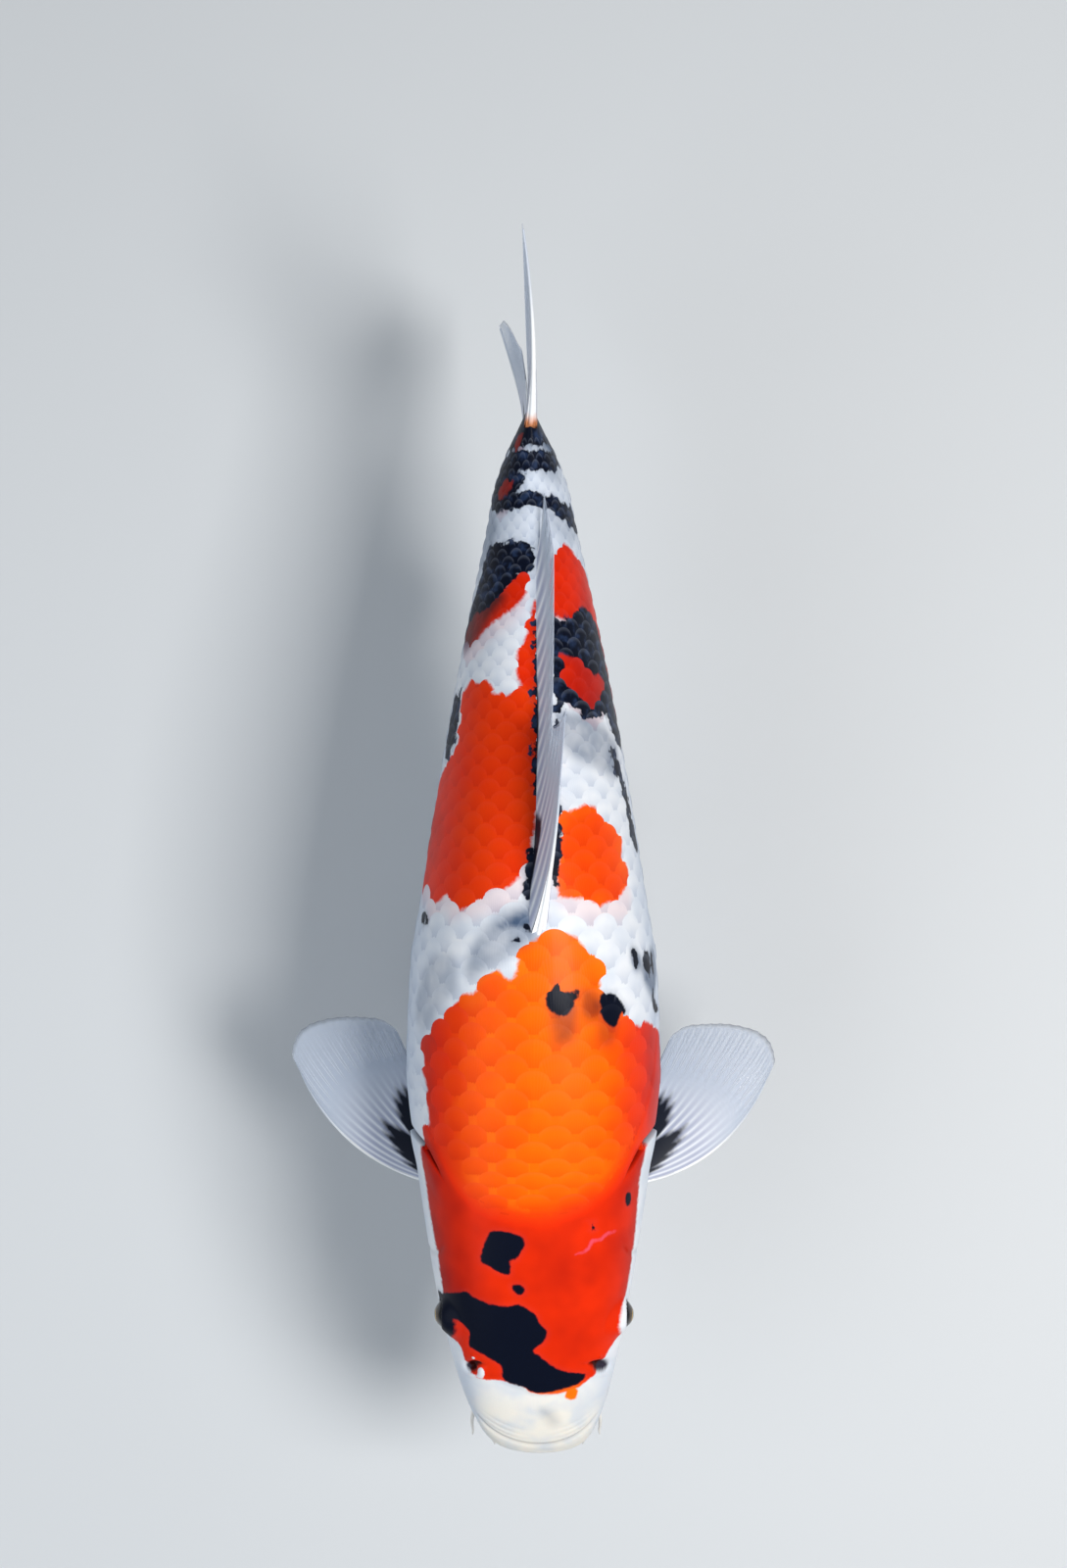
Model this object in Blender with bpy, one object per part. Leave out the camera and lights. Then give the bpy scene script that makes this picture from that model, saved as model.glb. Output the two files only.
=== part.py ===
"""A life-size koi carp as a still display model, on a flat base with two rods.

Metres, +Z up. The origin is the middle of the base's underside. The fish swims along -Y and its own
left side is +X. Places along the body are shares of the standard length, from snout (0) to tail base (1).
Angles round the body are in degrees from the middle of the back, positive towards the fish's left.
"""

import bpy
from math import cos, degrees, pi, radians, sin, sqrt
from mathutils import Vector

# Driving dimensions
STANDARD_LENGTH = 0.5785  # snout to tail base
SNOUT_Y = -0.2575
AXIS_HEIGHT = 0.176  # the body's long axis above the floor
GAP = 0.0003  # between neighbouring solids
MM = 0.001

RING_SIDES = 36
RING_STEP = 360 / RING_SIDES

# Body stations: share of the length, half width, back above the axis, belly below it, height of the
# widest level, exponent of the section (2 is an ellipse, more is squarer). In millimetres.
STATIONS = (
    (0.000, 0.0, -10.0, -10.0, -10.0, 2.3),
    (0.006, 21.0, -2.5, -18.0, -10.5, 2.3),
    (0.020, 31.0, 5.0, -25.0, -11.0, 2.3),
    (0.040, 37.3, 13.0, -32.0, -11.0, 2.3),
    (0.080, 45.0, 26.0, -42.0, -10.0, 2.35),
    (0.135, 52.3, 39.5, -51.0, -7.0, 2.4),
    (0.180, 57.3, 49.0, -57.0, -5.0, 2.35),
    (0.235, 62.3, 59.5, -63.0, -4.0, 2.25),
    (0.311, 68.4, 72.0, -70.5, -3.0, 2.15),
    (0.380, 72.3, 80.5, -77.0, -2.0, 2.1),
    (0.485, 70.0, 87.0, -81.0, -2.0, 2.1),
    (0.560, 63.6, 86.0, -79.5, -2.0, 2.05),
    (0.660, 54.5, 76.5, -71.0, -1.0, 2.0),
    (0.757, 44.4, 63.0, -57.0, 0.0, 2.0),
    (0.854, 33.0, 48.0, -42.5, 1.0, 2.0),
    (0.913, 25.7, 39.5, -35.0, 1.5, 2.0),
    (0.951, 21.5, 36.0, -32.5, 1.5, 2.0),
    (0.985, 14.5, 36.0, -33.5, 1.5, 2.0),
    (1.003, 9.5, 37.0, -34.5, 1.5, 2.0),
    (1.022, 4.0, 37.5, -35.5, 1.0, 2.0),
)

# Where the head ends: angle round the body, share of the length. It runs from the nape over the rear
# edge of the gill cover to the throat.
GILL_LINE = (
    (0, 0.226),
    (18, 0.229),
    (34, 0.247),
    (50, 0.286),
    (64, 0.313),
    (85, 0.322),
    (104, 0.303),
    (122, 0.250),
    (148, 0.210),
    (180, 0.190),
)
HEAD_CORE = 0.25  # where the inner faces of head and trunk meet on the axis
HEAD_RIM = 0.88  # the outer part of those faces, cut straight across
TRUNK_CUTS = (0.42, 0.62, 0.80)
STALK_END = 1.022

# Gill covers: the patch of rings they take, their front edge, and how far they stand out behind
GILL_FIRST, GILL_LAST = 5, 15
GILL_FRONT = 0.205
GILL_DEPTH = 0.004
GILL_LIFT = 0.0014
GILL_SLIT = 0.0022  # the opening behind the cover, as a share of the length
GILL_STEPS = 5
CHEEK_RADIUS = 0.044  # turns a gap on the cheek into an angle
POCKET_FRONT, POCKET_REAR = 0.0009, 0.0015  # how far the cover's pocket passes it, as shares of the length
POCKET_OUT = 0.003

# Eyes
EYE_PLACE = 0.143
EYE_HEIGHT = 0.013
EYE_RADIUS = 0.0095
EYE_OUT = 0.0562  # how far the eyeball reaches from the midline

# Mouth
MOUTH_CORNER = 0.044
LIP_RADIUS = 0.0040
LIP_INSET = 0.0024
LIP_HEIGHT, LIP_DROP = -0.0115, 0.009
LIP_STEPS = 12
MOUTH_BARBEL_RADIUS, LIP_BARBEL_RADIUS = 0.0016, 0.0010
BARBEL_BOW = 0.0042
JAW_LENGTH = 0.052
JAW_TOP_FRONT, JAW_TOP_REAR = -0.0165, -0.031

# Fins
ROOT_DEPTH = 0.004  # how far the rays start inside the body before they are trimmed
MARGIN_HALF = 0.0005  # half of a fin's thickness at its margin

# Stand
BASE_LENGTH, BASE_WIDTH, BASE_THICKNESS = 0.30, 0.108, 0.012
BASE_CHAMFER = 0.0015
ROD_RADIUS = 0.005
ROD_SIDES = 20
ROD_SOCKET = 0.020  # how deep a rod enters the body
ROD_PLACES = {"front": -0.085, "rear": 0.095}

WHITE_SKIN = ((0.82, 0.84, 0.87), 0.28, 0.0)
RED_SKIN = ((0.75, 0.10, 0.02), 0.28, 0.0)
FIN_SKIN = ((0.78, 0.80, 0.84), 0.35, 0.0)
DARK_EYE = ((0.03, 0.03, 0.05), 0.08, 0.0)
BASE_PAINT = ((0.80, 0.81, 0.82), 0.45, 0.0)
ROD_STEEL = ((0.62, 0.63, 0.65), 0.25, 1.0)


def clear_scene():
    for old in list(bpy.data.objects):
        bpy.data.objects.remove(old, do_unlink=True)


def material(name, look):
    colour, roughness, metallic = look
    made = bpy.data.materials.new(name)
    made.use_nodes = True
    shader = made.node_tree.nodes["Principled BSDF"]
    shader.inputs["Base Color"].default_value = (*colour, 1.0)
    shader.inputs["Roughness"].default_value = roughness
    shader.inputs["Metallic"].default_value = metallic
    return made


def add_object(name, points, faces, look=None):
    mesh = bpy.data.meshes.new(name)
    mesh.from_pydata([tuple(point) for point in points], [], faces)
    mesh.validate()
    made = bpy.data.objects.new(name, mesh)
    bpy.context.scene.collection.objects.link(made)
    if look is None:
        made.hide_render = True
        made.display_type = "WIRE"
    else:
        mesh.materials.append(material(name, look))
        mesh.shade_smooth()
        mesh.set_sharp_from_angle(angle=radians(40))
    return made


def combine(target, other, operation="DIFFERENCE"):
    boolean = target.modifiers.new(f"{operation} {other.name}", "BOOLEAN")
    boolean.operation = operation
    boolean.object = other


# Smooth curves through the stations


def through(table, column, at, warp=lambda value: value):
    """A smooth curve through one column of a table, without overshoot between its rows."""
    xs = [warp(row[0]) for row in table]
    ys = [row[column] for row in table]
    x = min(max(warp(at), xs[0]), xs[-1])
    slopes = [(ys[i + 1] - ys[i]) / (xs[i + 1] - xs[i]) for i in range(len(xs) - 1)]

    def tangent(i):
        if i == 0 or i == len(xs) - 1:
            return slopes[min(i, len(slopes) - 1)]
        before, after = slopes[i - 1], slopes[i]
        if before * after <= 0:
            return 0.0
        return 2 * before * after / (before + after)

    i = max(k for k in range(len(slopes)) if xs[k] <= x or k == 0)
    span = xs[i + 1] - xs[i]
    f = (x - xs[i]) / span
    return (
        ys[i] * (1 + 2 * f) * (1 - f) ** 2
        + ys[i + 1] * f * f * (3 - 2 * f)
        + tangent(i) * span * f * (1 - f) ** 2
        - tangent(i + 1) * span * f * f * (1 - f)
    )


def station(share):
    return [through(STATIONS, column, share, lambda s: sqrt(max(s, 0.0))) for column in range(1, 6)]


def midline(share):
    """The body bends a little: the snout to the fish's left, the tail to its right."""
    snout = 0.0035 * max(0.0, 1 - share / 0.3) ** 4
    tail = -0.0017 * max(0.0, (share - 0.6) / 0.4) ** 2
    return snout + tail


def along(share):
    return SNOUT_Y + share * STANDARD_LENGTH


def body_point(share, angle, offset=0.0, shrink=1.0):
    """A point of the body's surface, moved out by offset, or drawn in towards the section's middle."""
    half_width, back, belly, level, power = station(share)
    turn = radians(angle)
    across = abs(sin(turn)) ** (2 / power) * (1 if sin(turn) >= 0 else -1)
    upward = abs(cos(turn)) ** (2 / power) * (1 if cos(turn) >= 0 else -1)
    rise = (back - level) if upward >= 0 else (level - belly)
    x = (half_width * MM + offset) * across * shrink
    z = (rise * MM + offset) * upward * shrink
    return Vector((midline(share) + x, along(share), AXIS_HEIGHT + level * MM + z))


def core_point(share, shift=0.0):
    return Vector((midline(share), along(share) + shift, AXIS_HEIGHT + station(share)[3] * MM))


def gill_line(angle):
    return through(GILL_LINE, 1, abs((angle + 180) % 360 - 180))


def ring(share_at, offset=0.0, shrink=1.0, shift=0.0):
    """One closed ring round the body; share_at gives the place for each angle."""
    return [
        body_point(share_at(k * RING_STEP), k * RING_STEP, offset, shrink) + Vector((0, shift, 0))
        for k in range(RING_SIDES)
    ]


def closed_loft(rings, first, last, crossed=False):
    """Joins equal rings, which turn right-handed along the way, and closes both ends with fans.

    Two solids that meet on a curved face split its quads along the same diagonal: one of them is crossed.
    """
    points = [point for one in rings for point in one] + [first, last]
    count = len(rings[0])
    faces = []
    for r in range(len(rings) - 1):
        for k in range(count):
            a, b = r * count + k, r * count + (k + 1) % count
            if crossed:
                faces += [(a, b, a + count), (b, b + count, a + count)]
            else:
                faces += [(a, b, b + count), (a, b + count, a + count)]
    end = (len(rings) - 1) * count
    for k in range(count):
        after = (k + 1) % count
        faces.append((len(points) - 2, after, k))
        faces.append((len(points) - 1, end + k, end + after))
    return points, faces


# The body: head, trunk lengths and tail stalk


def head_form(offset=0.0):
    """The head with the gill covers' room still filled, from the snout to the gill line."""
    steps = 17
    rings = [ring(lambda a, f=(k / steps) ** 1.5: f * gill_line(a), offset) for k in range(1, steps + 1)]
    rings.append(ring(gill_line, offset, HEAD_RIM))
    return closed_loft(rings, core_point(0.0, -offset), core_point(HEAD_CORE))


def trunk_front():
    end, steps = TRUNK_CUTS[0], 6
    rings = [ring(gill_line, shrink=HEAD_RIM, shift=GAP)]
    for k in range(steps + 1):
        f = k / steps
        rings.append(ring(lambda a, f=f: (1 - f) * gill_line(a) + f * end, shift=GAP * (1 - f)))
    points, faces = closed_loft(rings, core_point(HEAD_CORE, GAP), core_point(end), crossed=True)
    return add_object("trunk_front", points, faces, WHITE_SKIN)


def body_length(name, start, end, steps):
    """A length of the body between two straight cuts, with the gap at its front end."""
    start += GAP / STANDARD_LENGTH
    shares = [start + (end - start) * k / steps for k in range(steps + 1)]
    rings = [ring(lambda a, s=share: s) for share in shares]
    points, faces = closed_loft(rings, core_point(start), core_point(end))
    return add_object(name, points, faces, WHITE_SKIN)


def body_clearance():
    """The whole body from the gill line back, larger by the gap: it trims the fins' roots."""
    end = STALK_END + GAP / STANDARD_LENGTH
    start, step = 0.16, 0.035
    shares = [start + step * k for k in range(25)] + [end]
    rings = [ring(lambda a, s=share: s, offset=GAP) for share in shares]
    return add_object("body_clearance", *closed_loft(rings, core_point(start), core_point(end)))


# Gill covers


def gill_patch(name, side, look=None):
    """A curved plate on the cheek; without a look, the larger pocket that it sits in, open outwards."""
    pocket = look is None
    count = GILL_LAST - GILL_FIRST + 1
    outer, inner = [], []
    for number in range(count):
        angle = (GILL_FIRST + number) * RING_STEP
        line = gill_line(angle)
        rear = line - GILL_SLIT
        round_off = 0.022 * (2 * number / (count - 1) - 1) ** 4
        front = min(GILL_FRONT - 0.012 * cos(radians(angle)) + round_off, line - 0.014)
        if pocket:
            rear = line + POCKET_REAR
            front -= POCKET_FRONT
            angle += degrees(GAP / CHEEK_RADIUS) * ((number == count - 1) - (number == 0))
        for step in range(GILL_STEPS + 1):
            f = step / GILL_STEPS
            share = front + (rear - front) * f
            lift = GILL_LIFT * f * f * sin(pi * number / (count - 1)) ** 0.5 + 0.0001
            outer.append(body_point(share, side * angle, lift + pocket * POCKET_OUT))
            inner.append(body_point(share, side * angle, -GILL_DEPTH - pocket * GAP))
    return add_object(name, *sheet_faces(outer, inner, count, GILL_STEPS + 1, side > 0), look)


def sheet_faces(front, back, rows, columns, flip=False):
    """A closed plate between two equal grids of points."""
    points = front + back
    other = len(front)
    faces = []
    for r in range(rows - 1):
        for c in range(columns - 1):
            a = r * columns + c
            quad = (a, a + 1, a + columns + 1, a + columns)
            faces.append(quad)
            faces.append(tuple(other + v for v in reversed(quad)))
    rim = list(range(columns))
    rim += [r * columns + columns - 1 for r in range(1, rows)]
    rim += [(rows - 1) * columns + c for c in range(columns - 2, -1, -1)]
    rim += [r * columns for r in range(rows - 2, 0, -1)]
    for a, b in zip(rim, rim[1:] + rim[:1]):
        faces.append((b, a, other + a, other + b))
    if flip:
        faces = [tuple(reversed(face)) for face in faces]
    return points, faces


# Eyes, mouth and barbels


def ball(name, centre, radius, look=None):
    segments, rows = 14, 9
    rings = []
    for r in range(1, rows):
        polar = pi * r / rows
        turns = [2 * pi * k / segments for k in range(segments)]
        places = [Vector((-cos(polar), sin(polar) * cos(turn), sin(polar) * sin(turn))) for turn in turns]
        rings.append([centre + radius * place for place in places])
    tip = Vector((radius, 0, 0))
    return add_object(name, *closed_loft(rings, centre - tip, centre + tip), look)


def eye(name, side, grow=0.0, look=None):
    x = midline(EYE_PLACE) + side * (EYE_OUT - EYE_RADIUS)
    centre = Vector((x, along(EYE_PLACE), AXIS_HEIGHT + EYE_HEIGHT))
    return ball(name, centre, EYE_RADIUS + grow, look)


def tube(name, path, radii, sides, look=None):
    """A round bar along a path, with a radius at each point."""
    rings = []
    turns = [2 * pi * k / sides for k in range(sides)]
    for i, point in enumerate(path):
        ahead = path[min(i + 1, len(path) - 1)] - path[max(i - 1, 0)]
        frame = ahead.to_track_quat("Z", "Y").to_matrix() * radii[i]
        rings.append([point + frame @ Vector((cos(turn), sin(turn), 0)) for turn in turns])
    first = path[0] + (path[0] - path[1]).normalized() * radii[0] * 0.6
    last = path[-1] + (path[-1] - path[-2]).normalized() * radii[-1] * 0.6
    return add_object(name, *closed_loft(rings, first, last), look)


def snout_outline(f):
    """The widest line round the snout, from the right corner of the mouth (-1) to the left (+1)."""
    share = MOUTH_CORNER * f * f
    side = 1 if f >= 0 else -1
    return Vector((midline(share) + side * station(share)[0] * MM, along(share), 0))


def lip_path():
    """Round the snout from corner to corner, LIP_INSET inside its outline."""
    path = []
    for k in range(LIP_STEPS + 1):
        f = 2 * k / LIP_STEPS - 1
        ahead = snout_outline(f + 0.02) - snout_outline(f - 0.02)
        inward = Vector((-ahead.y, ahead.x, 0)).normalized()
        point = snout_outline(f) + inward * LIP_INSET
        path.append(point + Vector((0, 0, AXIS_HEIGHT + LIP_HEIGHT - LIP_DROP * f * f)))
    return path


def lip(name, grow=0.0, look=None):
    radii = [LIP_RADIUS * (0.6 + 0.4 * sin(pi * k / LIP_STEPS)) + grow for k in range(LIP_STEPS + 1)]
    return tube(name, lip_path(), radii, 8, look)


def jaw_block(name, grow, look=None):
    """The wedge under the mouth's line that the lower jaw takes from the head."""
    half, ahead = 0.05, 0.01
    front, rear = SNOUT_Y - ahead, SNOUT_Y + JAW_LENGTH + grow
    slope = (JAW_TOP_REAR - JAW_TOP_FRONT) / JAW_LENGTH
    top_front = AXIS_HEIGHT + JAW_TOP_FRONT - slope * ahead + grow
    top_rear = AXIS_HEIGHT + JAW_TOP_FRONT + slope * (rear - SNOUT_Y) + grow
    bottom = AXIS_HEIGHT - 0.08
    points = []
    for x in (-half, half):
        points += [
            Vector((x, front, bottom)),
            Vector((x, rear, bottom)),
            Vector((x, rear, top_rear)),
            Vector((x, front, top_front)),
        ]
    faces = [(0, 1, 2, 3), (7, 6, 5, 4), (0, 4, 5, 1), (1, 5, 6, 2), (2, 6, 7, 3), (3, 7, 4, 0)]
    return add_object(name, points, [tuple(reversed(face)) for face in faces], look)


def barbel(name, side, root, reach, fall, radius, rooms):
    """A soft feeler: it leaves the lip outwards, then runs forward by reach and hangs down by fall."""
    steps = 6
    path = []
    for k in range(steps + 1):
        f = k / steps
        out = BARBEL_BOW * sin(pi * min(1.0, 1.2 * f)) * radius / MOUTH_BARBEL_RADIUS
        path.append(root + Vector((side * (out + 0.12 * reach * f), -reach * f, -fall * f**1.2)))
    radii = [radius * (1 - 0.66 * k / steps) for k in range(steps + 1)]
    made = tube(name, path, radii, 6, WHITE_SKIN)
    for room in rooms:
        combine(made, room)


def head_and_jaws():
    head = add_object("head", *head_form(), RED_SKIN)
    jaw = jaw_block("lower_jaw", 0.0, WHITE_SKIN)
    combine(jaw, add_object("head_whole", *head_form()), "INTERSECT")
    lip("upper_lip", 0.0, WHITE_SKIN)
    lip_room = lip("lip_room", GAP)
    rooms = (lip_room, add_object("head_room", *head_form(GAP)))
    combine(head, jaw_block("jaw_room", GAP))
    for solid in (head, jaw):
        combine(solid, lip_room)
    gill_rooms = {}
    for side, label in ((1, "left"), (-1, "right")):
        gill_rooms[label] = gill_patch(f"gill_room_{label}", side)
        combine(head, gill_rooms[label])
        gill_patch(f"gill_cover_{label}", side, RED_SKIN)
        combine(head, eye(f"eye_room_{label}", side, GAP))
        eye(f"eye_{label}", side, 0.0, DARK_EYE)
        corner = Vector((side * 0.0340 + 0.0015, SNOUT_Y + 0.0205, AXIS_HEIGHT - 0.0155))
        barbel(f"barbel_mouth_{label}", side, corner, 0.0215, 0.0230, MOUTH_BARBEL_RADIUS, rooms)
        halfway = lip_path()[LIP_STEPS * 3 // 4 if side > 0 else LIP_STEPS // 4]
        above = halfway + Vector((side * 0.0020, -0.0010, -0.0020))
        barbel(f"barbel_lip_{label}", side, above, 0.0060, 0.0100, LIP_BARBEL_RADIUS, rooms)
    return gill_rooms


# Fins: each is a fan of rays from its root to its margin


def bent_ray(root, middle, tip, steps):
    """A ray as a quadratic curve that leaves the root towards middle."""
    ray = []
    for k in range(steps + 1):
        f = k / steps
        ray.append(root * (1 - f) ** 2 + middle * 2 * f * (1 - f) + tip * f * f)
    return ray


def fin(name, rays, root_half, trim):
    """A closed thin blade over a fan of rays, from root_half thick each way at the root to the margin."""
    count, steps = len(rays), len(rays[0])
    front, back = [], []
    for i in range(count):
        for k in range(steps):
            across = rays[min(i + 1, count - 1)][k] - rays[max(i - 1, 0)][k]
            outward = rays[i][min(k + 1, steps - 1)] - rays[i][max(k - 1, 0)]
            normal = across.cross(outward).normalized()
            f = k / (steps - 1)
            edge = 1.0 if 0 < i < count - 1 else 0.75
            half = (MARGIN_HALF + (root_half - MARGIN_HALF) * (1 - f) ** 1.6) * edge
            front.append(rays[i][k] - normal * half)
            back.append(rays[i][k] + normal * half)
    made = add_object(name, *sheet_faces(front, back, count, steps), FIN_SKIN)
    combine(made, trim)
    return made


def dorsal_fin(trim):
    """Half folded: the rays lie back, and the blade leans to the fish's left."""
    count = 17
    first, last = 0.515, 0.868
    rays = []
    for i in range(count):
        q = i / (count - 1)
        share = first + (last - first) * q
        tall = 0.112 - 0.016 * max(0.0, 1 - 6 * q) - 0.064 * min(1.0, max(0.0, (q - 0.14) / 0.22)) ** 0.8
        length = tall - 0.006 * max(0.0, q - 0.45)
        rise = radians(26 + 2 * q - 16 * max(0.0, (q - 0.85) / 0.15))
        lean = radians(17 + 9 * q)
        slope = (station(share + 0.04)[1] - station(share)[1]) * MM / (0.04 * STANDARD_LENGTH)
        root = body_point(share, 1.5 + 4 * q, -ROOT_DEPTH)
        forward = Vector((0, 1, slope)).normalized()
        upward = Vector((sin(lean), 0, cos(lean)))
        tip = root + forward * length * cos(rise) + upward * length * sin(rise)
        bow = 0.05 + 0.07 * max(0.0, 1 - 4 * q)
        middle = root + forward * length * 0.44 + upward * length * (0.5 * sin(rise) + bow)
        rays.append(bent_ray(root, middle, tip, 5))
    return fin("dorsal_fin", rays, 0.0027, trim)


def anal_fin(trim):
    count = 8
    rays = []
    for i in range(count):
        q = i / (count - 1)
        share = 0.772 + 0.062 * q
        length = 0.064 - 0.026 * q - 0.012 * max(0.0, 1 - 2.5 * q)
        fall = radians(52 - 22 * q)
        root = body_point(share, 180, -ROOT_DEPTH)
        tip = root + Vector((-0.004 * q, cos(fall) * length, -sin(fall) * length))
        middle = (root + tip) / 2 + Vector((0, 0.004, -0.005))
        rays.append(bent_ray(root, middle, tip, 5))
    return fin("anal_fin", rays, 0.0022, trim)


def pelvic_fin(name, side, trim):
    """Trailing back and down below the belly, partly spread."""
    count = 8
    rays = []
    for i in range(count):
        q = i / (count - 1)
        root = body_point(0.492 + 0.014 * q, side * (148 + 9 * q), -ROOT_DEPTH)
        length = 0.074 - 0.022 * q * q - 0.008 * max(0.0, 1 - 3 * q)
        sweep = radians(30 - 28 * q)
        out = Vector((side * sin(sweep) * 0.72, cos(sweep), -0.42 - 0.10 * q)).normalized()
        tip = root + out * length
        middle = (root + tip) / 2 + Vector((side * 0.004 * (1 - q), 0, -0.003))
        rays.append(bent_ray(root, middle, tip, 5))
    return fin(name, rays, 0.0024, trim)


def pectoral_fin(name, side, trim):
    """Spread level: the first ray bows forward, the margin runs round to the inner corner."""
    # Margin from the first ray's tip to the inner corner: out from the midline, back from the snout
    margin = (
        (0.00, 138.0, 213.0),
        (0.12, 142.0, 222.0),
        (0.26, 139.0, 233.0),
        (0.42, 128.0, 241.0),
        (0.62, 110.0, 244.0),
        (0.82, 93.0, 243.0),
        (0.94, 82.0, 237.0),
        (1.00, 77.5, 228.0),
    )
    count = 12
    forward = 0.002 if side > 0 else -0.002
    rays = []
    for i in range(count):
        q = i / (count - 1)
        root = body_point(0.258 + 0.036 * q, side * (121 + 8 * q), -ROOT_DEPTH)
        level = AXIS_HEIGHT - 0.048
        tip = Vector((
            side * through(margin, 1, q) * MM,
            SNOUT_Y + through(margin, 2, q) * MM - forward,
            level - 0.007 + 0.006 * sin(pi * q),
        ))
        bow = (1 - q) ** 1.3
        straight = (root + tip) / 2
        middle = straight + Vector((side * 0.019 * bow, -0.022 * bow - 0.002 - forward, -0.006))
        rays.append(bent_ray(root, middle, tip, 6))
    return fin(name, rays, 0.0030, trim)


def tail_lobe(name, side, trim):
    """One lobe of the forked tail: side is +1 for the upper lobe and -1 for the lower.

    The margin runs from the lobe's tip to the fork, a little rounded. Places are back from the tail
    base and out from the axis; the lower lobe swings further to the fish's right.
    """
    count = 11
    if side > 0:
        tip_back, tip_out, fork_back, bulge = 0.111, 0.099, 0.056, 0.008
        sway, curl, set_over = -0.0045, 0.0, 0.0030
    else:
        tip_back, tip_out, fork_back, bulge = 0.086, 0.094, 0.052, -0.003
        sway, curl, set_over = -0.0085, -0.011, 0.0
    base = Vector((midline(1.0), along(1.0), AXIS_HEIGHT + 0.001))
    rays = []
    for i in range(count):
        q = i / (count - 1)
        lead = 1 - q
        root = base + Vector((0, 0.003, side * (0.0012 + 0.0338 * lead)))
        back = tip_back * lead + fork_back * q + bulge * sin(pi * q) - 0.006 * max(0.0, 1 - 9 * q)
        out = tip_out * lead + 0.0015 * q - 0.004 * sin(2 * pi * q)
        swing = sway * back / tip_back + curl * (out / tip_out) ** 2
        tip = base + Vector((swing, back, side * out))
        bow = 0.012 * lead
        over = 2 * set_over * lead - 0.25 * swing
        middle = (root + tip) / 2 + Vector((over, -0.55 * bow, side * 0.8 * bow))
        rays.append(bent_ray(root, middle, tip, 6))
    return fin(name, rays, 0.0034, trim)


# Stand


def stand_base():
    """A flat plate with round ends and a small chamfer round its top edge."""
    arc_steps = 14

    def outline(inset, height):
        radius = BASE_WIDTH / 2 - inset
        centre = BASE_LENGTH / 2 - BASE_WIDTH / 2
        loop = []
        for end in (1, -1):
            for k in range(arc_steps + 1):
                turn = pi * k / arc_steps + (0 if end > 0 else pi)
                loop.append(Vector((radius * cos(turn), end * centre + radius * sin(turn), height)))
        return loop

    levels = [
        outline(0, 0),
        outline(0, BASE_THICKNESS - BASE_CHAMFER),
        outline(BASE_CHAMFER, BASE_THICKNESS),
    ]
    bottom, top = Vector((0, 0, 0)), Vector((0, 0, BASE_THICKNESS))
    return add_object("stand_base", *closed_loft(levels, bottom, top), BASE_PAINT)


def rod(name, y, low, high, radius, look=None):
    turns = [2 * pi * k / ROD_SIDES for k in range(ROD_SIDES)]
    rings = [[Vector((radius * cos(turn), y + radius * sin(turn), z)) for turn in turns] for z in (low, high)]
    return add_object(name, *closed_loft(rings, Vector((0, y, low)), Vector((0, y, high))), look)


def rods(bodies):
    """Each rod stands on the base and ends in a socket in the belly."""
    for label, y in ROD_PLACES.items():
        belly = body_point((y - SNOUT_Y) / STANDARD_LENGTH, 180).z
        top = belly + ROD_SOCKET
        rod(f"stand_rod_{label}", y, BASE_THICKNESS + GAP, top, ROD_RADIUS, ROD_STEEL)
        socket = rod(f"socket_{label}", y, belly - 0.02, top + GAP, ROD_RADIUS + GAP)
        combine(bodies[label], socket)


def build():
    clear_scene()
    gill_rooms = head_and_jaws()
    front = trunk_front()
    middle = body_length("trunk_middle", *TRUNK_CUTS[:2], 6)
    body_length("trunk_rear", *TRUNK_CUTS[1:], 5)
    body_length("tail_stalk", TRUNK_CUTS[2], STALK_END, 8)
    trim = body_clearance()
    dorsal_fin(trim)
    anal_fin(trim)
    for side, label in ((1, "left"), (-1, "right")):
        pelvic_fin(f"pelvic_fin_{label}", side, trim)
        combine(pectoral_fin(f"pectoral_fin_{label}", side, trim), gill_rooms[label])
    tail_lobe("tail_fin_upper", 1, trim)
    tail_lobe("tail_fin_lower", -1, trim)
    stand_base()
    rods({"front": front, "rear": middle})


build()
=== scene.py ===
# %% [markdown]
# # A koi carp at life size, on a display stand
#
# A koi is a carp bred for its colours. This one is white, red and blue-black. Its body is covered in large
# round scales; its head, lips and feelers are bare skin; its fins are webs of clear skin on bony rays. The
# lesson builds it as a model maker would: one skin from nose to tail, a coat of scales laid on it, then the
# eyes, the fins and the stand. Lengths are in metres, and the fish faces -Y with its own left side at +X.

import bpy
import numpy as np
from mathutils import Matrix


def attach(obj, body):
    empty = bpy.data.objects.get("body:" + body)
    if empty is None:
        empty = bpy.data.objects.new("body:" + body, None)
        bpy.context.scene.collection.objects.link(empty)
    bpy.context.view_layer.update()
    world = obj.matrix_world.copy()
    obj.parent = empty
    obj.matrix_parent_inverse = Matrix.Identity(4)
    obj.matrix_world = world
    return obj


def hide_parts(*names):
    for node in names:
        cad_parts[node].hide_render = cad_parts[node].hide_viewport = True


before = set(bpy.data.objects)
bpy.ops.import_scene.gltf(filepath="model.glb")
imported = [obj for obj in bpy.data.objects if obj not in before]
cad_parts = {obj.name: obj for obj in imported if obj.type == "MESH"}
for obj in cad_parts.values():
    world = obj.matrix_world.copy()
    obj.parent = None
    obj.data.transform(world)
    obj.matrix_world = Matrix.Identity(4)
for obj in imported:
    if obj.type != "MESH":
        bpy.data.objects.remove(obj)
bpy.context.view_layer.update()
MM = 0.001
print("solid parts:", len(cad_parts))

# %% [markdown]
# ## Small helpers
#
# Blender's node trees are easier to read when a node, its settings and what feeds it stand on one line.
# The same helper serves shaders and Geometry Nodes, because both are node trees.

# %% Node helpers


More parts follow.
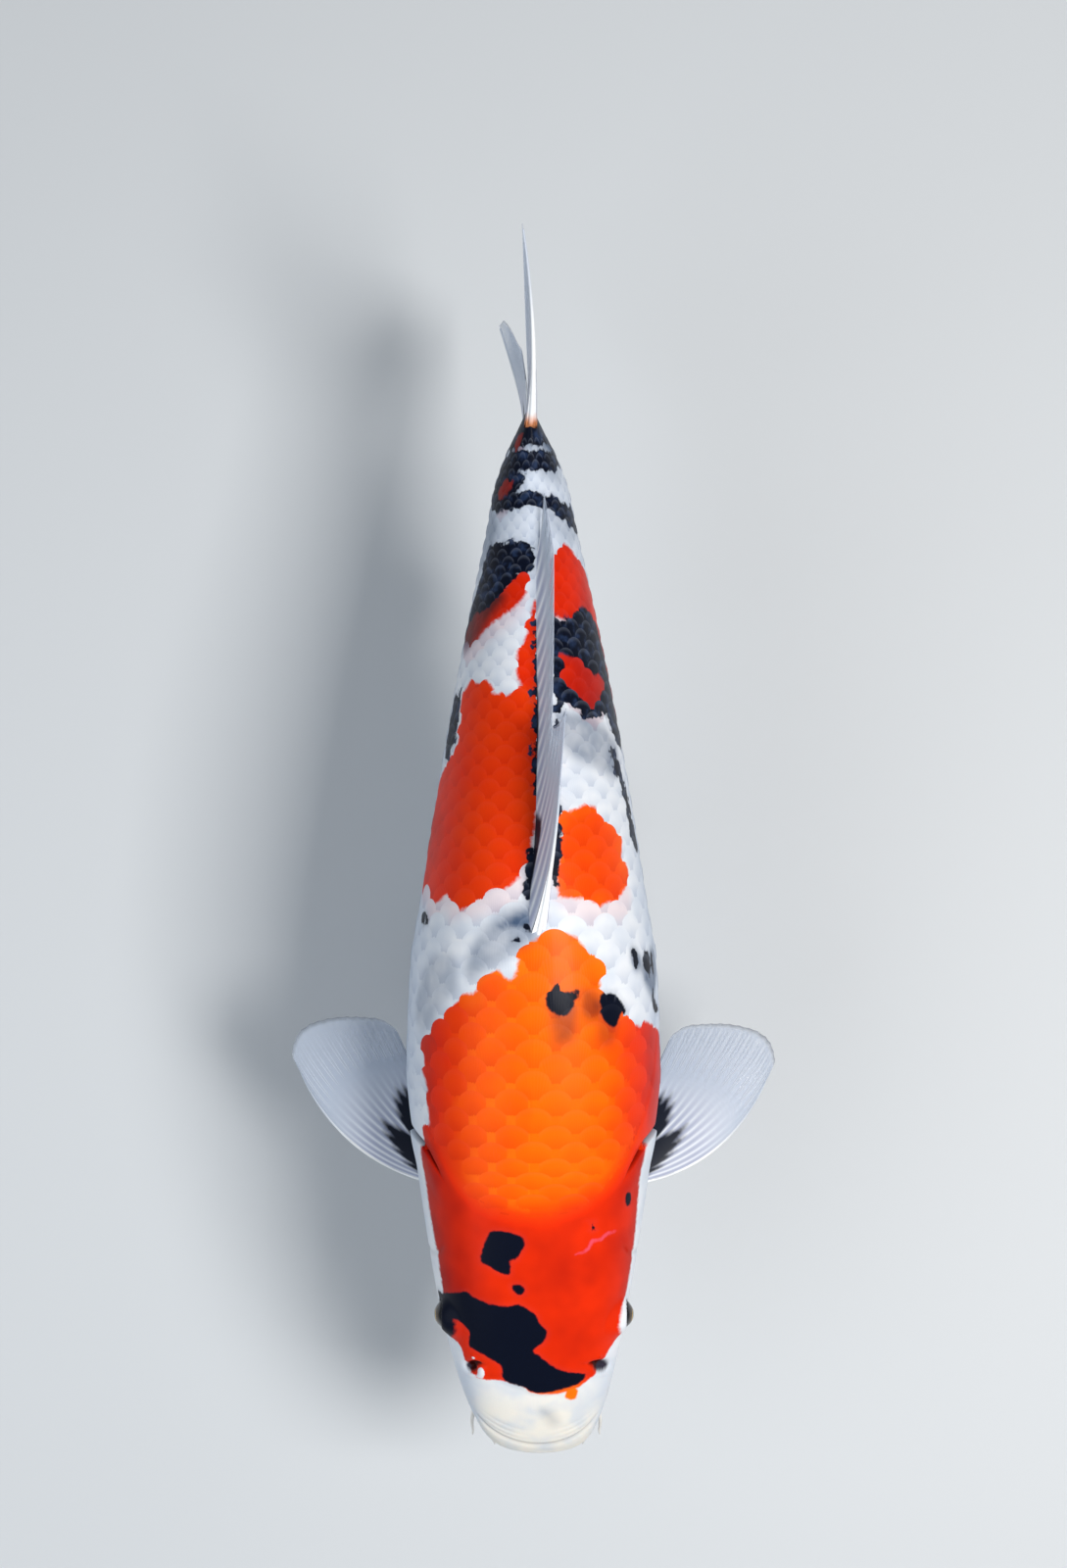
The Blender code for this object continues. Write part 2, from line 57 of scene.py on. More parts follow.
def add_node(tree, kind, inputs=None, **settings):
    """Adds a node. Each input is a plain value or another node's output socket."""
    made = tree.nodes.new(kind)
    for name, value in settings.items():
        setattr(made, name, value)
    for name, value in (inputs or {}).items():
        if isinstance(value, bpy.types.NodeSocket):
            tree.links.new(value, made.inputs[name])
        else:
            made.inputs[name].default_value = value
    return made


def maths(tree, operation, *values):
    return add_node(tree, "ShaderNodeMath", dict(enumerate(values)), operation=operation).outputs[0]


def times(tree, first, second):
    return maths(tree, "MULTIPLY", first, second)


def plus(tree, first, second):
    return maths(tree, "ADD", first, second)


def times_plus(tree, value, factor, added):
    return maths(tree, "MULTIPLY_ADD", value, factor, added)


def step(tree, value, low, high, out_low=0.0, out_high=1.0):
    """A smooth step from out_low to out_high as value passes from low to high."""
    inputs = {"Value": value, "From Min": low, "From Max": high, "To Min": out_low, "To Max": out_high}
    return add_node(tree, "ShaderNodeMapRange", inputs, interpolation_type="SMOOTHSTEP").outputs[0]


def blend(tree, factor, first, second, kind="MIX"):
    """Mixes two colours."""
    inputs = {0: factor, 6: first, 7: second}
    return add_node(tree, "ShaderNodeMix", inputs, data_type="RGBA", blend_type=kind).outputs[2]


def drawn(tree, name):
    """A number stored on the mesh."""
    return add_node(tree, "ShaderNodeAttribute", attribute_name=name).outputs["Fac"]


def noise(tree, scale, detail=2.0, where=None):
    inputs = {"Scale": scale, "Detail": detail}
    if where is not None:
        inputs["Vector"] = where
    return add_node(tree, "ShaderNodeTexNoise", inputs).outputs[0]


def own_place(tree):
    return add_node(tree, "ShaderNodeTexCoord").outputs["Object"]


def vector(tree, x, y=0.0, z=0.0):
    return add_node(tree, "ShaderNodeCombineXYZ", {0: x, 1: y, 2: z}).outputs[0]


def parts(tree, value):
    """The x, y and z of a vector."""
    return add_node(tree, "ShaderNodeSeparateXYZ", {0: value}).outputs


def new_material(name, roughness, constants=None):
    """A Principled material with its constants set; returns it with its tree and shader."""
    made = bpy.data.materials.new(name)
    made.use_nodes = True
    shader = made.node_tree.nodes["Principled BSDF"]
    for label, value in {"Roughness": roughness, **(constants or {})}.items():
        shader.inputs[label].default_value = value
    return made, made.node_tree, shader


def bands(tree, along, scale, distortion=0.0):
    """Waves that follow one number."""
    inputs = {"Vector": vector(tree, along), "Scale": scale, "Distortion": distortion}
    return add_node(tree, "ShaderNodeTexWave", inputs, wave_type="BANDS").outputs[1]


def bump(tree, shader, height, distance, strength):
    inputs = {"Height": height, "Distance": distance, "Strength": strength}
    made = add_node(tree, "ShaderNodeBump", inputs)
    tree.links.new(made.outputs[0], shader.inputs["Normal"])


# %% Mesh helpers


def in_scene(name, data):
    """A new object for a mesh, a lamp or a camera."""
    made = bpy.data.objects.new(name, data)
    bpy.context.scene.collection.objects.link(made)
    return made


def store(mesh, numbers):
    """Stores one number for each point under each name."""
    for key, values in numbers.items():
        layer = mesh.attributes.new(key, "FLOAT", "POINT")
        layer.data.foreach_set("value", np.asarray(values, np.float32).ravel())


def read_back(mesh, key, size=1):
    """The numbers stored under a name, or the vectors if size is 3."""
    found = np.zeros(len(mesh.vertices) * size, np.float32)
    mesh.attributes[key].data.foreach_get("value" if size == 1 else "vector", found)
    return found.reshape(-1, size).squeeze()


def mesh_object(name, points, faces=(), numbers=None, edges=()):
    """A smooth mesh object with the numbers stored on its points."""
    mesh = bpy.data.meshes.new(name)
    faces = faces.tolist() if isinstance(faces, np.ndarray) else faces
    mesh.from_pydata(np.asarray(points).reshape(-1, 3).tolist(), edges, faces)
    store(mesh, numbers or {})
    mesh.shade_smooth()
    return in_scene(name, mesh)


def grid_faces(rows, columns, closed=False):
    """Quads of a grid of points; closed joins the last column to the first."""
    i, k = np.meshgrid(np.arange(rows - 1), np.arange(columns if closed else columns - 1), indexing="ij")
    after = (k + 1) % columns
    corners = (i * columns + k, i * columns + after, (i + 1) * columns + after, (i + 1) * columns + k)
    return np.stack(corners, -1).reshape(-1, 4)


def capped_faces(rows, columns):
    """A closed grid, with its first and last rows each drawn to one more point after the grid's own."""
    k = np.arange(columns)
    after = (k + 1) % columns
    tip, last = np.full(columns, rows * columns), (rows - 1) * columns
    fans = [np.stack(corners, -1) for corners in ((tip, after, k), (tip + 1, last + k, last + after))]
    return grid_faces(rows, columns, closed=True).tolist() + np.concatenate(fans).tolist()


def ramp(value, low, high):
    """A smooth step from 0 to 1 in numpy."""
    f = np.clip((value - low) / (high - low), 0, 1)
    return f * f * (3 - 2 * f)


def hill(distance, width):
    return np.exp(-((distance / width) ** 2))


def triangles(thing):
    return sum(len(face.vertices) - 2 for face in thing.data.polygons)


# %% [markdown]
# ## The form of the body
#
# A carp's body is a smooth spindle. At each station along it, the section is a rounded oval that is fullest
# just above the middle. The same stations shaped the solids, so the skin fits them. A place on the body is a
# share of the length and an angle round it, with 0 at the middle of the back and + to the fish's left.

# %% Stations of the body
LENGTH = 0.5785  # snout to tail base
SNOUT_Y = -0.2575
AXIS_HEIGHT = 0.176
BODY_END = 1.022
# Share of the length, half width, back above the axis, belly below it, widest level, exponent of the section
STATIONS = np.array([
    (0.000, 0.0, -10.0, -10.0, -10.0, 2.3),
    (0.006, 21.0, -2.5, -18.0, -10.5, 2.3),
    (0.020, 31.0, 5.0, -25.0, -11.0, 2.3),
    (0.040, 37.3, 13.0, -32.0, -11.0, 2.3),
    (0.080, 45.0, 26.0, -42.0, -10.0, 2.35),
    (0.135, 52.3, 39.5, -51.0, -7.0, 2.4),
    (0.180, 57.3, 49.0, -57.0, -5.0, 2.35),
    (0.235, 62.3, 59.5, -63.0, -4.0, 2.25),
    (0.311, 68.4, 72.0, -70.5, -3.0, 2.15),
    (0.380, 72.3, 80.5, -77.0, -2.0, 2.1),
    (0.485, 70.0, 87.0, -81.0, -2.0, 2.1),
    (0.560, 63.6, 86.0, -79.5, -2.0, 2.05),
    (0.660, 54.5, 76.5, -71.0, -1.0, 2.0),
    (0.757, 44.4, 63.0, -57.0, 0.0, 2.0),
    (0.854, 33.0, 48.0, -42.5, 1.0, 2.0),
    (0.913, 25.7, 39.5, -35.0, 1.5, 2.0),
    (0.951, 21.5, 36.0, -32.5, 1.5, 2.0),
    (0.985, 14.5, 36.0, -33.5, 1.5, 2.0),
    (1.003, 9.5, 37.0, -34.5, 1.5, 2.0),
    (1.022, 4.0, 37.5, -35.5, 1.0, 2.0),
])
# The rear edge of the head: angle, share. From the nape over the gill cover to the throat
GILL_LINE = np.array([
    (0, 0.226),
    (18, 0.229),
    (34, 0.247),
    (50, 0.286),
    (64, 0.313),
    (85, 0.322),
    (104, 0.303),
    (122, 0.250),
    (148, 0.210),
    (180, 0.190),
])


def through(table, column, at, warp=np.asarray):
    """A smooth curve through one column of a table, without overshoot between its rows."""
    x, y = warp(table[:, 0]), table[:, column]
    at = np.clip(warp(at), x[0], x[-1])
    slopes = np.diff(y) / np.diff(x)
    before, after = slopes[:-1], slopes[1:]
    same = before * after > 0
    inner = np.where(same, 2 * before * after / np.where(same, before + after, 1), 0)
    tangents = np.concatenate([slopes[:1], inner, slopes[-1:]])
    i = np.clip(np.searchsorted(x, at, side="right") - 1, 0, len(slopes) - 1)
    span = x[i + 1] - x[i]
    f = (at - x[i]) / span
    ends = y[i] * (1 + 2 * f) * (1 - f) ** 2 + y[i + 1] * f * f * (3 - 2 * f)
    return ends + tangents[i] * span * f * (1 - f) ** 2 - tangents[i + 1] * span * f * f * (1 - f)


def midline(share):
    """The snout turns a little to the fish's left and the tail to its right."""
    return 0.0035 * np.maximum(0, 1 - share / 0.3) ** 4 - 0.0017 * np.maximum(0, (share - 0.6) / 0.4) ** 2


def gill_line(angle):
    return through(GILL_LINE, 1, np.abs((np.asarray(angle) + 180) % 360 - 180))


def body_point(share, angle, offset=0.0):
    """Points of the body's surface, moved out by offset."""
    share, angle = np.broadcast_arrays(np.asarray(share, float), np.asarray(angle, float))
    half, back, belly, level, power = (through(STATIONS, c, share, np.sqrt) for c in range(1, 6))
    sine, cosine = np.sin(np.radians(angle)), np.cos(np.radians(angle))
    across = np.abs(sine) ** (2 / power) * np.sign(sine)
    upward = np.abs(cosine) ** (2 / power) * np.sign(cosine)
    rise = np.where(upward >= 0, back - level, level - belly)
    x = midline(share) + (half * MM + offset) * across
    z = AXIS_HEIGHT + level * MM + (rise * MM + offset) * upward
    return np.stack([x, SNOUT_Y + share * LENGTH, z], -1)


girth = body_point(0.4, np.arange(-180, 181))
print("girth at the shoulders: %.0f mm" % (np.linalg.norm(np.diff(girth, axis=0), axis=1).sum() / MM))

# %% [markdown]
# ## A map of the hide
#
# Markings are easiest to place on a flat map of the hide: millimetres behind the snout, and millimetres
# round from the middle of the back. A table of the distance round each section turns share and angle into
# that map, so an outline drawn on it keeps its true size on the back and on the flank.

# %% From share and angle to millimetres on the hide
MAP_SHARES = np.linspace(0, 1.01, 160) ** 2
MAP_ANGLES = np.arange(0, 182.0, 2.0)
sections = body_point(np.minimum(MAP_SHARES, BODY_END)[:, None], MAP_ANGLES[None, :])
steps_round = np.linalg.norm(np.diff(sections, axis=1), axis=2) / MM
MAP_ROUND = np.concatenate([np.zeros((len(MAP_SHARES), 1)), np.cumsum(steps_round, axis=1)], axis=1)


def hide_place(share, angle):
    """Millimetres behind the snout and round from the middle of the back."""
    share, angle = np.broadcast_arrays(np.asarray(share, float), np.asarray(angle, float))
    row = np.clip(np.interp(share, MAP_SHARES, np.arange(len(MAP_SHARES))), 0, len(MAP_SHARES) - 1.001)
    column = np.clip(np.abs(angle) / 2, 0, len(MAP_ANGLES) - 1.001)
    r, c = row.astype(int), column.astype(int)
    fr, fc = row - r, column - c
    near = MAP_ROUND[r, c] * (1 - fc) + MAP_ROUND[r, c + 1] * fc
    far = MAP_ROUND[r + 1, c] * (1 - fc) + MAP_ROUND[r + 1, c + 1] * fc
    return share * LENGTH / MM, np.sign(angle) * (near * (1 - fr) + far * fr)


# %% [markdown]
# ## The markings
#
# A painter first draws each patch as a closed outline. Here an outline is a few points on the hide map,
# (back, round), joined by a smooth loop. Each patch of red also has a warmth, from deep red to orange.
# The mesh stores how many millimetres each point lies inside the nearest patch. A material can then draw a
# clean edge between the mesh's points, which a painted colour on each point could not.

# %% Outlines of the patches
# The patches towards the tail have a low warmth, deep red, partly as painted shade that grows towards the
# tail.
RED_PATCHES = (  # warmth, outline
    (0.22, "cap", [
        (65, -46), (70, -54), (81, -60), (97, -61), (117, -65), (135, -71), (155, -76), (180, -78),
        (200, -60), (205, 0), (200, 60), (186, 78), (166, 74), (143, 73), (123, 71), (106, 67), (94, 63),
        (86, 58), (78, 57), (69, 54), (62, 46), (53, 40), (48, 33), (43, 26), (39.5, 16), (38.6, 7),
        (39.6, -2), (44, -8), (47, -20),
        (47, -30), (51, -41)]),
    (0.84, "saddle", [
        (172, -74), (184, -76), (191, -78), (196, -69), (208, -73), (216, -71), (226, -79), (238, -78),
        (245, -68), (252, -56), (262, -48), (265, -40), (266, -34), (273, -32), (280, -24), (281, -17),
        (278, -12), (284, -10), (292, -9), (298, -4), (303, 6), (303, 18), (300, 26), (295, 31), (287, 37),
        (280, 40), (272, 43), (265, 41), (258, 56), (253, 64), (250, 74), (246, 88), (244, 108), (230, 122),
        (206, 122), (190, 108), (184, 84), (170, 72), (160, 60), (150, 0), (160, -60)]),
    (0.42, "right of the back", [
        (324, -108), (326, -90), (318, -80), (317, -71), (321, -58), (315, -50), (320, -31), (323, -19),
        (329, -9), (340, -2), (356, 0), (383, 2), (434, 2), (437, -2), (434, -13), (431, -23), (438, -30),
        (440, -42), (435, -50), (431, -57), (415, -58), (399, -63), (391, -75), (380, -96), (366, -108),
        (345, -116)]),
    (0.66, "left of the back", [
        (371, 14), (367, 21), (369, 29), (372, 36), (369, 42), (361, 50), (358, 56), (351, 64), (342, 63),
        (334, 68), (324, 68), (318, 58), (318, 44), (314, 36), (319, 28), (320, 18), (325, 12), (340, 12),
        (360, 15)]),
    (0.10, "behind the fin, left", [
        (454, 16), (453, 25), (448, 36), (445, 50), (439, 60), (432, 57), (426, 48), (425, 38), (429, 30),
        (437, 19), (443, 16)]),
    (0.17, "upper left", [
        (508, 11), (513, 16), (516, 23), (512, 30), (508, 37), (504, 52), (497, 61), (482, 70), (464, 80),
        (444, 91), (428, 99), (412, 109), (408, 101), (424, 88), (444, 78), (462, 66), (474, 54),
        (476, 46), (480, 37), (475, 29), (474, 20), (480, 11)]),
    (0.28, "strip beside the fin", [
        (482, 1), (472, -2), (461, -6), (452, -8), (442, -8), (436, -4), (436, 1), (460, 2)]),
    (0.12, "right of the tail stalk", [
        (500, -4), (492, -3), (486, -5), (480, -11), (474, -20), (468, -30), (461, -42), (460, -57),
        (466, -68), (475, -53), (482, -33), (490, -20), (498, -12)]),
    (0.06, "on the stalk", [(552, -10), (546, -14), (541, -22), (546, -27), (553, -20)]),
    (0.06, "end of the stalk, right", [(580, -5), (574, -6), (569, -11), (572, -17), (579, -13)]),
    (0.55, "spot on the snout", [(42, 18), (42, 23), (38, 24), (35, 22), (36, 17)]),
)
BLACK_PATCHES = (
    ("square on the head", [
        (135, -24), (136, -18), (135, -13), (133, -7), (129, -5), (124, -7), (120, -10),
        (119, -13), (112, -13), (111, -15), (112, -19), (116, -26), (118, -30), (124, -29), (130, -27)]),
    ("oval on the head", [(104, -12), (105, -8), (102, -5), (99, -7), (100, -10)]),
    ("over the right eye", [
        (88, -74), (95, -62), (97, -50), (99, -40), (96, -34), (93, -25), (92, -16), (93, -8), (88, 0),
        (82, 3), (77, 7), (71, 5), (66, -1), (62, 3), (56, 10), (52, 19), (50, 29), (45, 25), (42, 16),
        (40, 7), (40, -1), (43, -6), (45, -12), (48, -18), (56, -19), (60, -25), (64, -33), (67, -39),
        (75, -38), (79, -42), (82, -49), (74, -64), (73, -74), (80, -80)]),
    ("spot by the left gill", [(155, 59), (154, 63), (149, 64), (147, 61), (150, 58)]),
    ("shoulder, middle", [
        (275, 13), (273, 14), (270, 17), (270, 21), (271, 25), (268, 25), (265, 22), (261, 23), (256, 19),
        (258, 14), (261, 9), (266, 8), (271, 10)]),
    ("shoulder, outer", [
        (265, 38), (268, 42), (268, 49), (263, 55), (258, 59), (256, 53), (250, 49), (253, 43), (258, 40)]),
    ("left of the stalk's front", [
        (474, 10), (474, 18), (478, 27), (485, 38), (482, 50), (472, 62), (458, 80), (436, 94), (412, 98),
        (402, 84), (409, 68), (420, 58), (420, 46), (418, 36), (423, 27), (430, 17), (434, 11), (454, 10)]),
    ("right of the stalk's front", [
        (515, -34), (518, -26), (517, -13), (518, -6), (514, 1), (502, 1), (498, -8), (490, -16),
        (482, -27), (474, -44), (466, -60), (462, -76), (470, -82), (480, -64), (492, -48), (506, -40)]),
    ("first bar of the stalk", [
        (537, -36), (545, -46), (548, -30), (546, -14), (546, 0), (544, 12), (541, 24), (538, 40), (530, 52),
        (524, 44), (529, 27), (535, 12), (537, 0), (535, -10), (536, -24)]),
    ("right half bar", [(541, -36), (552, -44), (558, -30), (557, -12), (554, -4), (547, -6), (540, -18)]),
    ("second bar of the stalk", [
        (557, -32), (564, -40), (569, -20), (569, 4), (571, 20), (572, 36), (564, 34), (559, 20), (557, 4),
        (558, -6), (555, -16)]),
    ("end of the stalk", [
        (571, -34), (590, -42), (608, -40), (608, 40), (590, 38), (569, 34), (573, 18), (571, 0)]),
)
BLACK_STREAKS = (  # narrow marks that cross scales
    ("right of the fin's front", [(348, -3), (346, 0), (322, 1), (318, -1), (324, -4)]),
    ("right of the fin", [(470, 4), (440, 4), (384, 3), (384, 0), (430, 1), (466, 1)]),
    ("left of the fin", [(375, 11), (369, 15), (352, 15), (330, 14), (330, 10), (350, 10)]),
    ("left of the fin's middle", [(434, 13), (430, 18), (420, 17), (412, 15), (412, 12)]),
    ("edge of the right patch", [
        (433, -60), (416, -60), (402, -66), (396, -76), (404, -84), (420, -82), (432, -74)]),
    ("left flank, front", [(292, 66), (290, 71), (284, 74), (281, 71), (286, 68)]),
    ("left flank, below it", [(289, 84), (284, 81), (277, 86), (276, 92), (282, 94), (288, 90)]),
    ("left flank, third mark", [(288, 98), (282, 103), (275, 101), (279, 96)]),
    ("left flank, low", [(270, 98), (262, 101), (256, 110), (254, 100), (262, 94)]),
    ("left flank, first streak", [(404, 58), (398, 68), (384, 77), (382, 71), (394, 60)]),
    ("left flank, second streak", [(388, 71), (380, 82), (366, 91), (366, 82), (380, 71)]),
    ("left flank, third streak", [(369, 80), (360, 94), (344, 102), (346, 92), (358, 80)]),
    ("right flank", [(311, -92), (309, -82), (305, -80), (304, -88), (307, -95)]),
    ("speck by the back", [(305, -5), (306, -3), (304, -2), (303, -4)]),
    ("speck behind the saddle", [(299, -11), (300, -9), (298, -8), (297, -10)]),
    ("speck on the head", [(140, 33), (140, 35), (137, 35), (137, 33)]),
)
CLOUDS = (  # strength, outline: black under the scales, seen as grey-blue
    (0.55, [(276, -38), (290, -38), (306, -26), (318, -10), (318, 4), (300, 2), (292, -9), (282, -24)]),
    (0.95, [(302, -24), (310, -17), (316, -8), (317, 2), (306, 3), (303, -8)]),
    (0.85, [
        (291, 67), (289, 74), (285, 80), (288, 92), (290, 108), (278, 118), (268, 106), (262, 96), (270, 84),
        (278, 77), (280, 70), (286, 66)]),
    (0.95, [(487, -16), (475, -28), (464, -42), (457, -58), (464, -76), (480, -62), (493, -34)]),
    (0.55, [(472, 72), (446, 90), (410, 112), (402, 98), (440, 76), (466, 62)]),
    (0.85, [(558, -6), (542, -10), (536, -20), (542, -32), (556, -24)]),
    (0.85, [(584, -2), (570, -4), (564, -14), (572, -22), (584, -16)]),
    (0.40, [(574, -34), (560, -30), (545, -34), (530, -28), (518, -40), (540, -52), (574, -46)]),
    (0.30, [(538, 10), (534, 30), (524, 42), (518, 26), (530, 8)]),
    (0.35, [(574, 4), (566, 20), (552, 24), (554, 8), (564, 2)]),
    (0.90, [(586, -20), (570, -20), (571, 6), (566, 24), (568, 42), (588, 40)]),
    (0.60, [(420, 14), (421, 36), (410, 62), (400, 72), (386, 62), (392, 40), (398, 22), (406, 14)]),
    (0.45, [(540, -44), (520, -56), (500, -52), (516, -30), (530, -26)]),
    (0.40, [(29, 3), (27, 9), (21, 12), (19, 8), (24, 4)]),
    (0.35, [(270, -46), (262, -56), (246, -72), (250, -90), (268, -88), (286, -70), (288, -50)]),
    (0.80, [(269, 28), (269, 36), (261, 41), (254, 38), (255, 29)]),
    (0.60, [(262, 10), (262, 24), (244, 22), (242, 12)]),
    (0.45, [(257, 38), (254, 52), (240, 48), (241, 38)]),
)
SCRATCH = [  # a thin pink line on the head
    (122, 23), (125, 30), (130, 33), (130.5, 39), (133.5, 43), (134, 50), (133, 50), (132.2, 44),
    (129.2, 39.6), (128.8, 34), (124, 31)]
OVER_BLACK = (  # patches of red that lie over the black
    "behind the fin, left", "upper left", "right of the tail stalk", "on the stalk",
    "end of the stalk, right")
FAR_OUTSIDE = -30.0
print("outlines:", sum(map(len, (RED_PATCHES, BLACK_PATCHES, BLACK_STREAKS, CLOUDS))))

# %% [markdown]
# An outline becomes a smooth loop. A point's depth is its distance to the nearest side of the loop, and it
# counts as inside where a line from it crosses the loop an odd number of times.

# %% Depth inside an outline


def smooth_loop(outline, pieces=5):
    """A closed Catmull-Rom curve through an outline's points."""
    p = np.array(outline, float)
    before, after, last = np.roll(p, 1, 0), np.roll(p, -1, 0), np.roll(p, -2, 0)
    f = np.arange(pieces)[None, :, None] / pieces
    a, b = 2 * p[:, None], (after - before)[:, None]
    c = (2 * before - 5 * p + 4 * after - last)[:, None]
    d = (3 * p - before - 3 * after + last)[:, None]
    return (0.5 * (a + b * f + c * f**2 + d * f**3)).reshape(-1, 2)


def depth_inside(outline, back, around):
    """Millimetres inside a closed outline, negative outside."""
    loop = smooth_loop(outline)
    low, high = loop.min(0) + FAR_OUTSIDE, loop.max(0) - FAR_OUTSIDE
    result = np.full(back.shape, FAR_OUTSIDE)
    near = (back > low[0]) & (back < high[0]) & (around > low[1]) & (around < high[1])
    x, y = back[near], around[near]
    nearest, inside = np.full(x.shape, 1e9), np.zeros(x.shape, bool)
    for (x0, y0), (x1, y1) in zip(loop, np.roll(loop, -1, 0)):
        dx, dy = x1 - x0, y1 - y0
        f = np.clip(((x - x0) * dx + (y - y0) * dy) / (dx * dx + dy * dy), 0, 1)
        nearest = np.minimum(nearest, (x - x0 - f * dx) ** 2 + (y - y0 - f * dy) ** 2)
        crossing = (y0 > y) != (y1 > y)
        inside ^= crossing & (x < x0 + (y - y0) * dx / (dy if dy else 1e-9))
    result[near] = np.maximum(np.where(inside, 1, -1) * np.sqrt(nearest), FAR_OUTSIDE)
    return result


# %% [markdown]
# Now every marking can be asked for at any place, with the painted light and shade. The red is most orange
# behind the nape; a painted highlight makes it brighter along the top of the back, and painted shade makes it
# deeper towards the sides and on the fish's right behind the saddle. Painted shade also makes the white
# darker and bluer down the flanks, on the sides of the snout and towards the tail. Red drawn over black, the
# grey-blue clouds, the cream of the snout and a thin pink line on the head are kept apart, because the
# material treats each in its own way.

# %% All markings, with painted light and shade, at a place
PINK_REACH = 9.0  # how far a scale's clear rear half covers the red behind it
SADDLE_END = 310  # millimetres behind the snout


def markings_and_shade(share, angle):
    """Every marking at these places, with painted light and shade: depths in millimetres, strengths from 0 to
    1.
    """
    back, around = hide_place(share, angle)

    def deepest(patches):
        return np.max([depth_inside(outline, back, around) for _, outline in patches], axis=0)

    off_middle, in_front = np.abs(around), back < SADDLE_END
    red = np.full(back.shape, FAR_OUTSIDE)
    pink, over, warmth_and_painted_light = red.copy(), red.copy(), np.zeros(back.shape)
    for warm, title, outline in RED_PATCHES:
        depth = depth_inside(outline, back, around)
        if title in OVER_BLACK:
            over = np.maximum(over, depth)
        warmth_and_painted_light = np.where(depth > red, warm, warmth_and_painted_light)
        red = np.maximum(red, depth)
        if outline[0][0] > 250:
            pink = np.maximum(pink, depth_inside(outline, back + PINK_REACH, around))
    bright = 150 + 0.008 * around**2
    warmth_and_painted_light = warmth_and_painted_light + (0.86 - warmth_and_painted_light) * ramp(back, bright - 14, bright + 6) * in_front * (red > -8)
    # painted highlight: the red made brighter orange along the top of the back, most on the fish's left,
    # towards the main light
    lit_along_back = 0.14 * hill(around - 18, 30) + 0.16 * hill(around - 3, 3)
    warmth_and_painted_light = warmth_and_painted_light + lit_along_back * ramp(back, 150, 175) * (back < 300)
    # painted shade: the red of the head and saddle made deeper down the sides
    warmth_and_painted_light = warmth_and_painted_light * (1 - 0.85 * ramp(np.abs(around - 8), 30, 84) * in_front)
    warmth_and_painted_light = warmth_and_painted_light + 0.5 * (1 - ramp(back, 42, 50))
    # painted shade: the red made deeper on the fish's right side, away from the main light, behind the saddle
    warmth_and_painted_light = warmth_and_painted_light - 0.22 * ramp(-around, 30, 80) * (back > SADDLE_END)
    red = red / (1 + 1.6 * ramp(off_middle, 56, 66) * (1 - ramp(back, 176, 192)))
    cloud = np.max([s * ramp(depth_inside(outline, back, around), -5, 5) for s, outline in CLOUDS], axis=0)
    cream = (1 - ramp(back, 20, 62)) * (1 - 0.7 * ramp(off_middle, 26, 46))
    # painted shade: the white made darker and bluer down the flanks, on the sides of the snout and towards
    # the tail
    flank = ramp(off_middle, 62, 112) * ramp(back, 60, 160)
    flank = np.maximum(flank, ramp(off_middle, 20, 44) * (1 - ramp(back, 34, 64)))
    flank = np.maximum(flank, 0.8 * ramp(back, 420, 540))
    return {
        "red": red, "warmth_and_painted_light": warmth_and_painted_light, "pink": ramp(pink, -3, 3), "over": over,
        "black": deepest(BLACK_PATCHES), "streak": deepest(BLACK_STREAKS), "cloud": cloud, "cream": cream,
        "flank": flank, "navy": ramp(back, 300, 420), "scratch": depth_inside(SCRATCH, back, around)}


# %% [markdown]
# ## The skin
#
# One closed skin runs from the lips to the tail, so the head, gill covers and trunk show no seam. It is a
# grid: rows from the snout back, columns from the belly round to the belly. The rows are closer together
# where the form is fine, at the lips, round the eyes and at the gill opening.

# %% Rows and columns
COLUMNS = 288
HEAD_ROWS, TRUNK_ROWS = 190, 118


def spread(weights):
    """Places from 0 to 1 whose distances follow the weights."""
    return np.concatenate([[0], np.cumsum(weights)]) / np.sum(weights)


u = (np.arange(HEAD_ROWS) + 0.5) / HEAD_ROWS
head_places = spread(u**0.8 * (1 - 0.5 * hill(u - 0.59, 0.07)) * (1 - 0.85 * ramp(u, 0.86, 1)))
u = (np.arange(TRUNK_ROWS) + 0.5) / TRUNK_ROWS
trunk_places = spread(0.15 + 0.85 * ramp(u, 0, 0.12))
angles = -180 + 360 * np.arange(COLUMNS) / COLUMNS
line = gill_line(angles)[None, :]
t = trunk_places[1:, None]
shares = np.concatenate([head_places[1:, None] * line, (1 - t) * line + t * BODY_END])
angle_grid = np.broadcast_to(angles, shares.shape)
back, around = hide_place(shares, angle_grid)
print("skin grid:", shares.shape)

# %% [markdown]
# The fine forms of the head are small hills and valleys on that grid, in millimetres. The gill cover's rear
# edge stands out, with the opening behind it. Shallow grooves part the plates of the cover. The nostrils
# are pits with a flap of skin in front, and the lips are a soft ridge with a fold above.


# %% Relief of the head


def nape(around):
    """Where bare skin ends and scales begin on the back of the head."""
    return 142 + 0.0095 * around**2


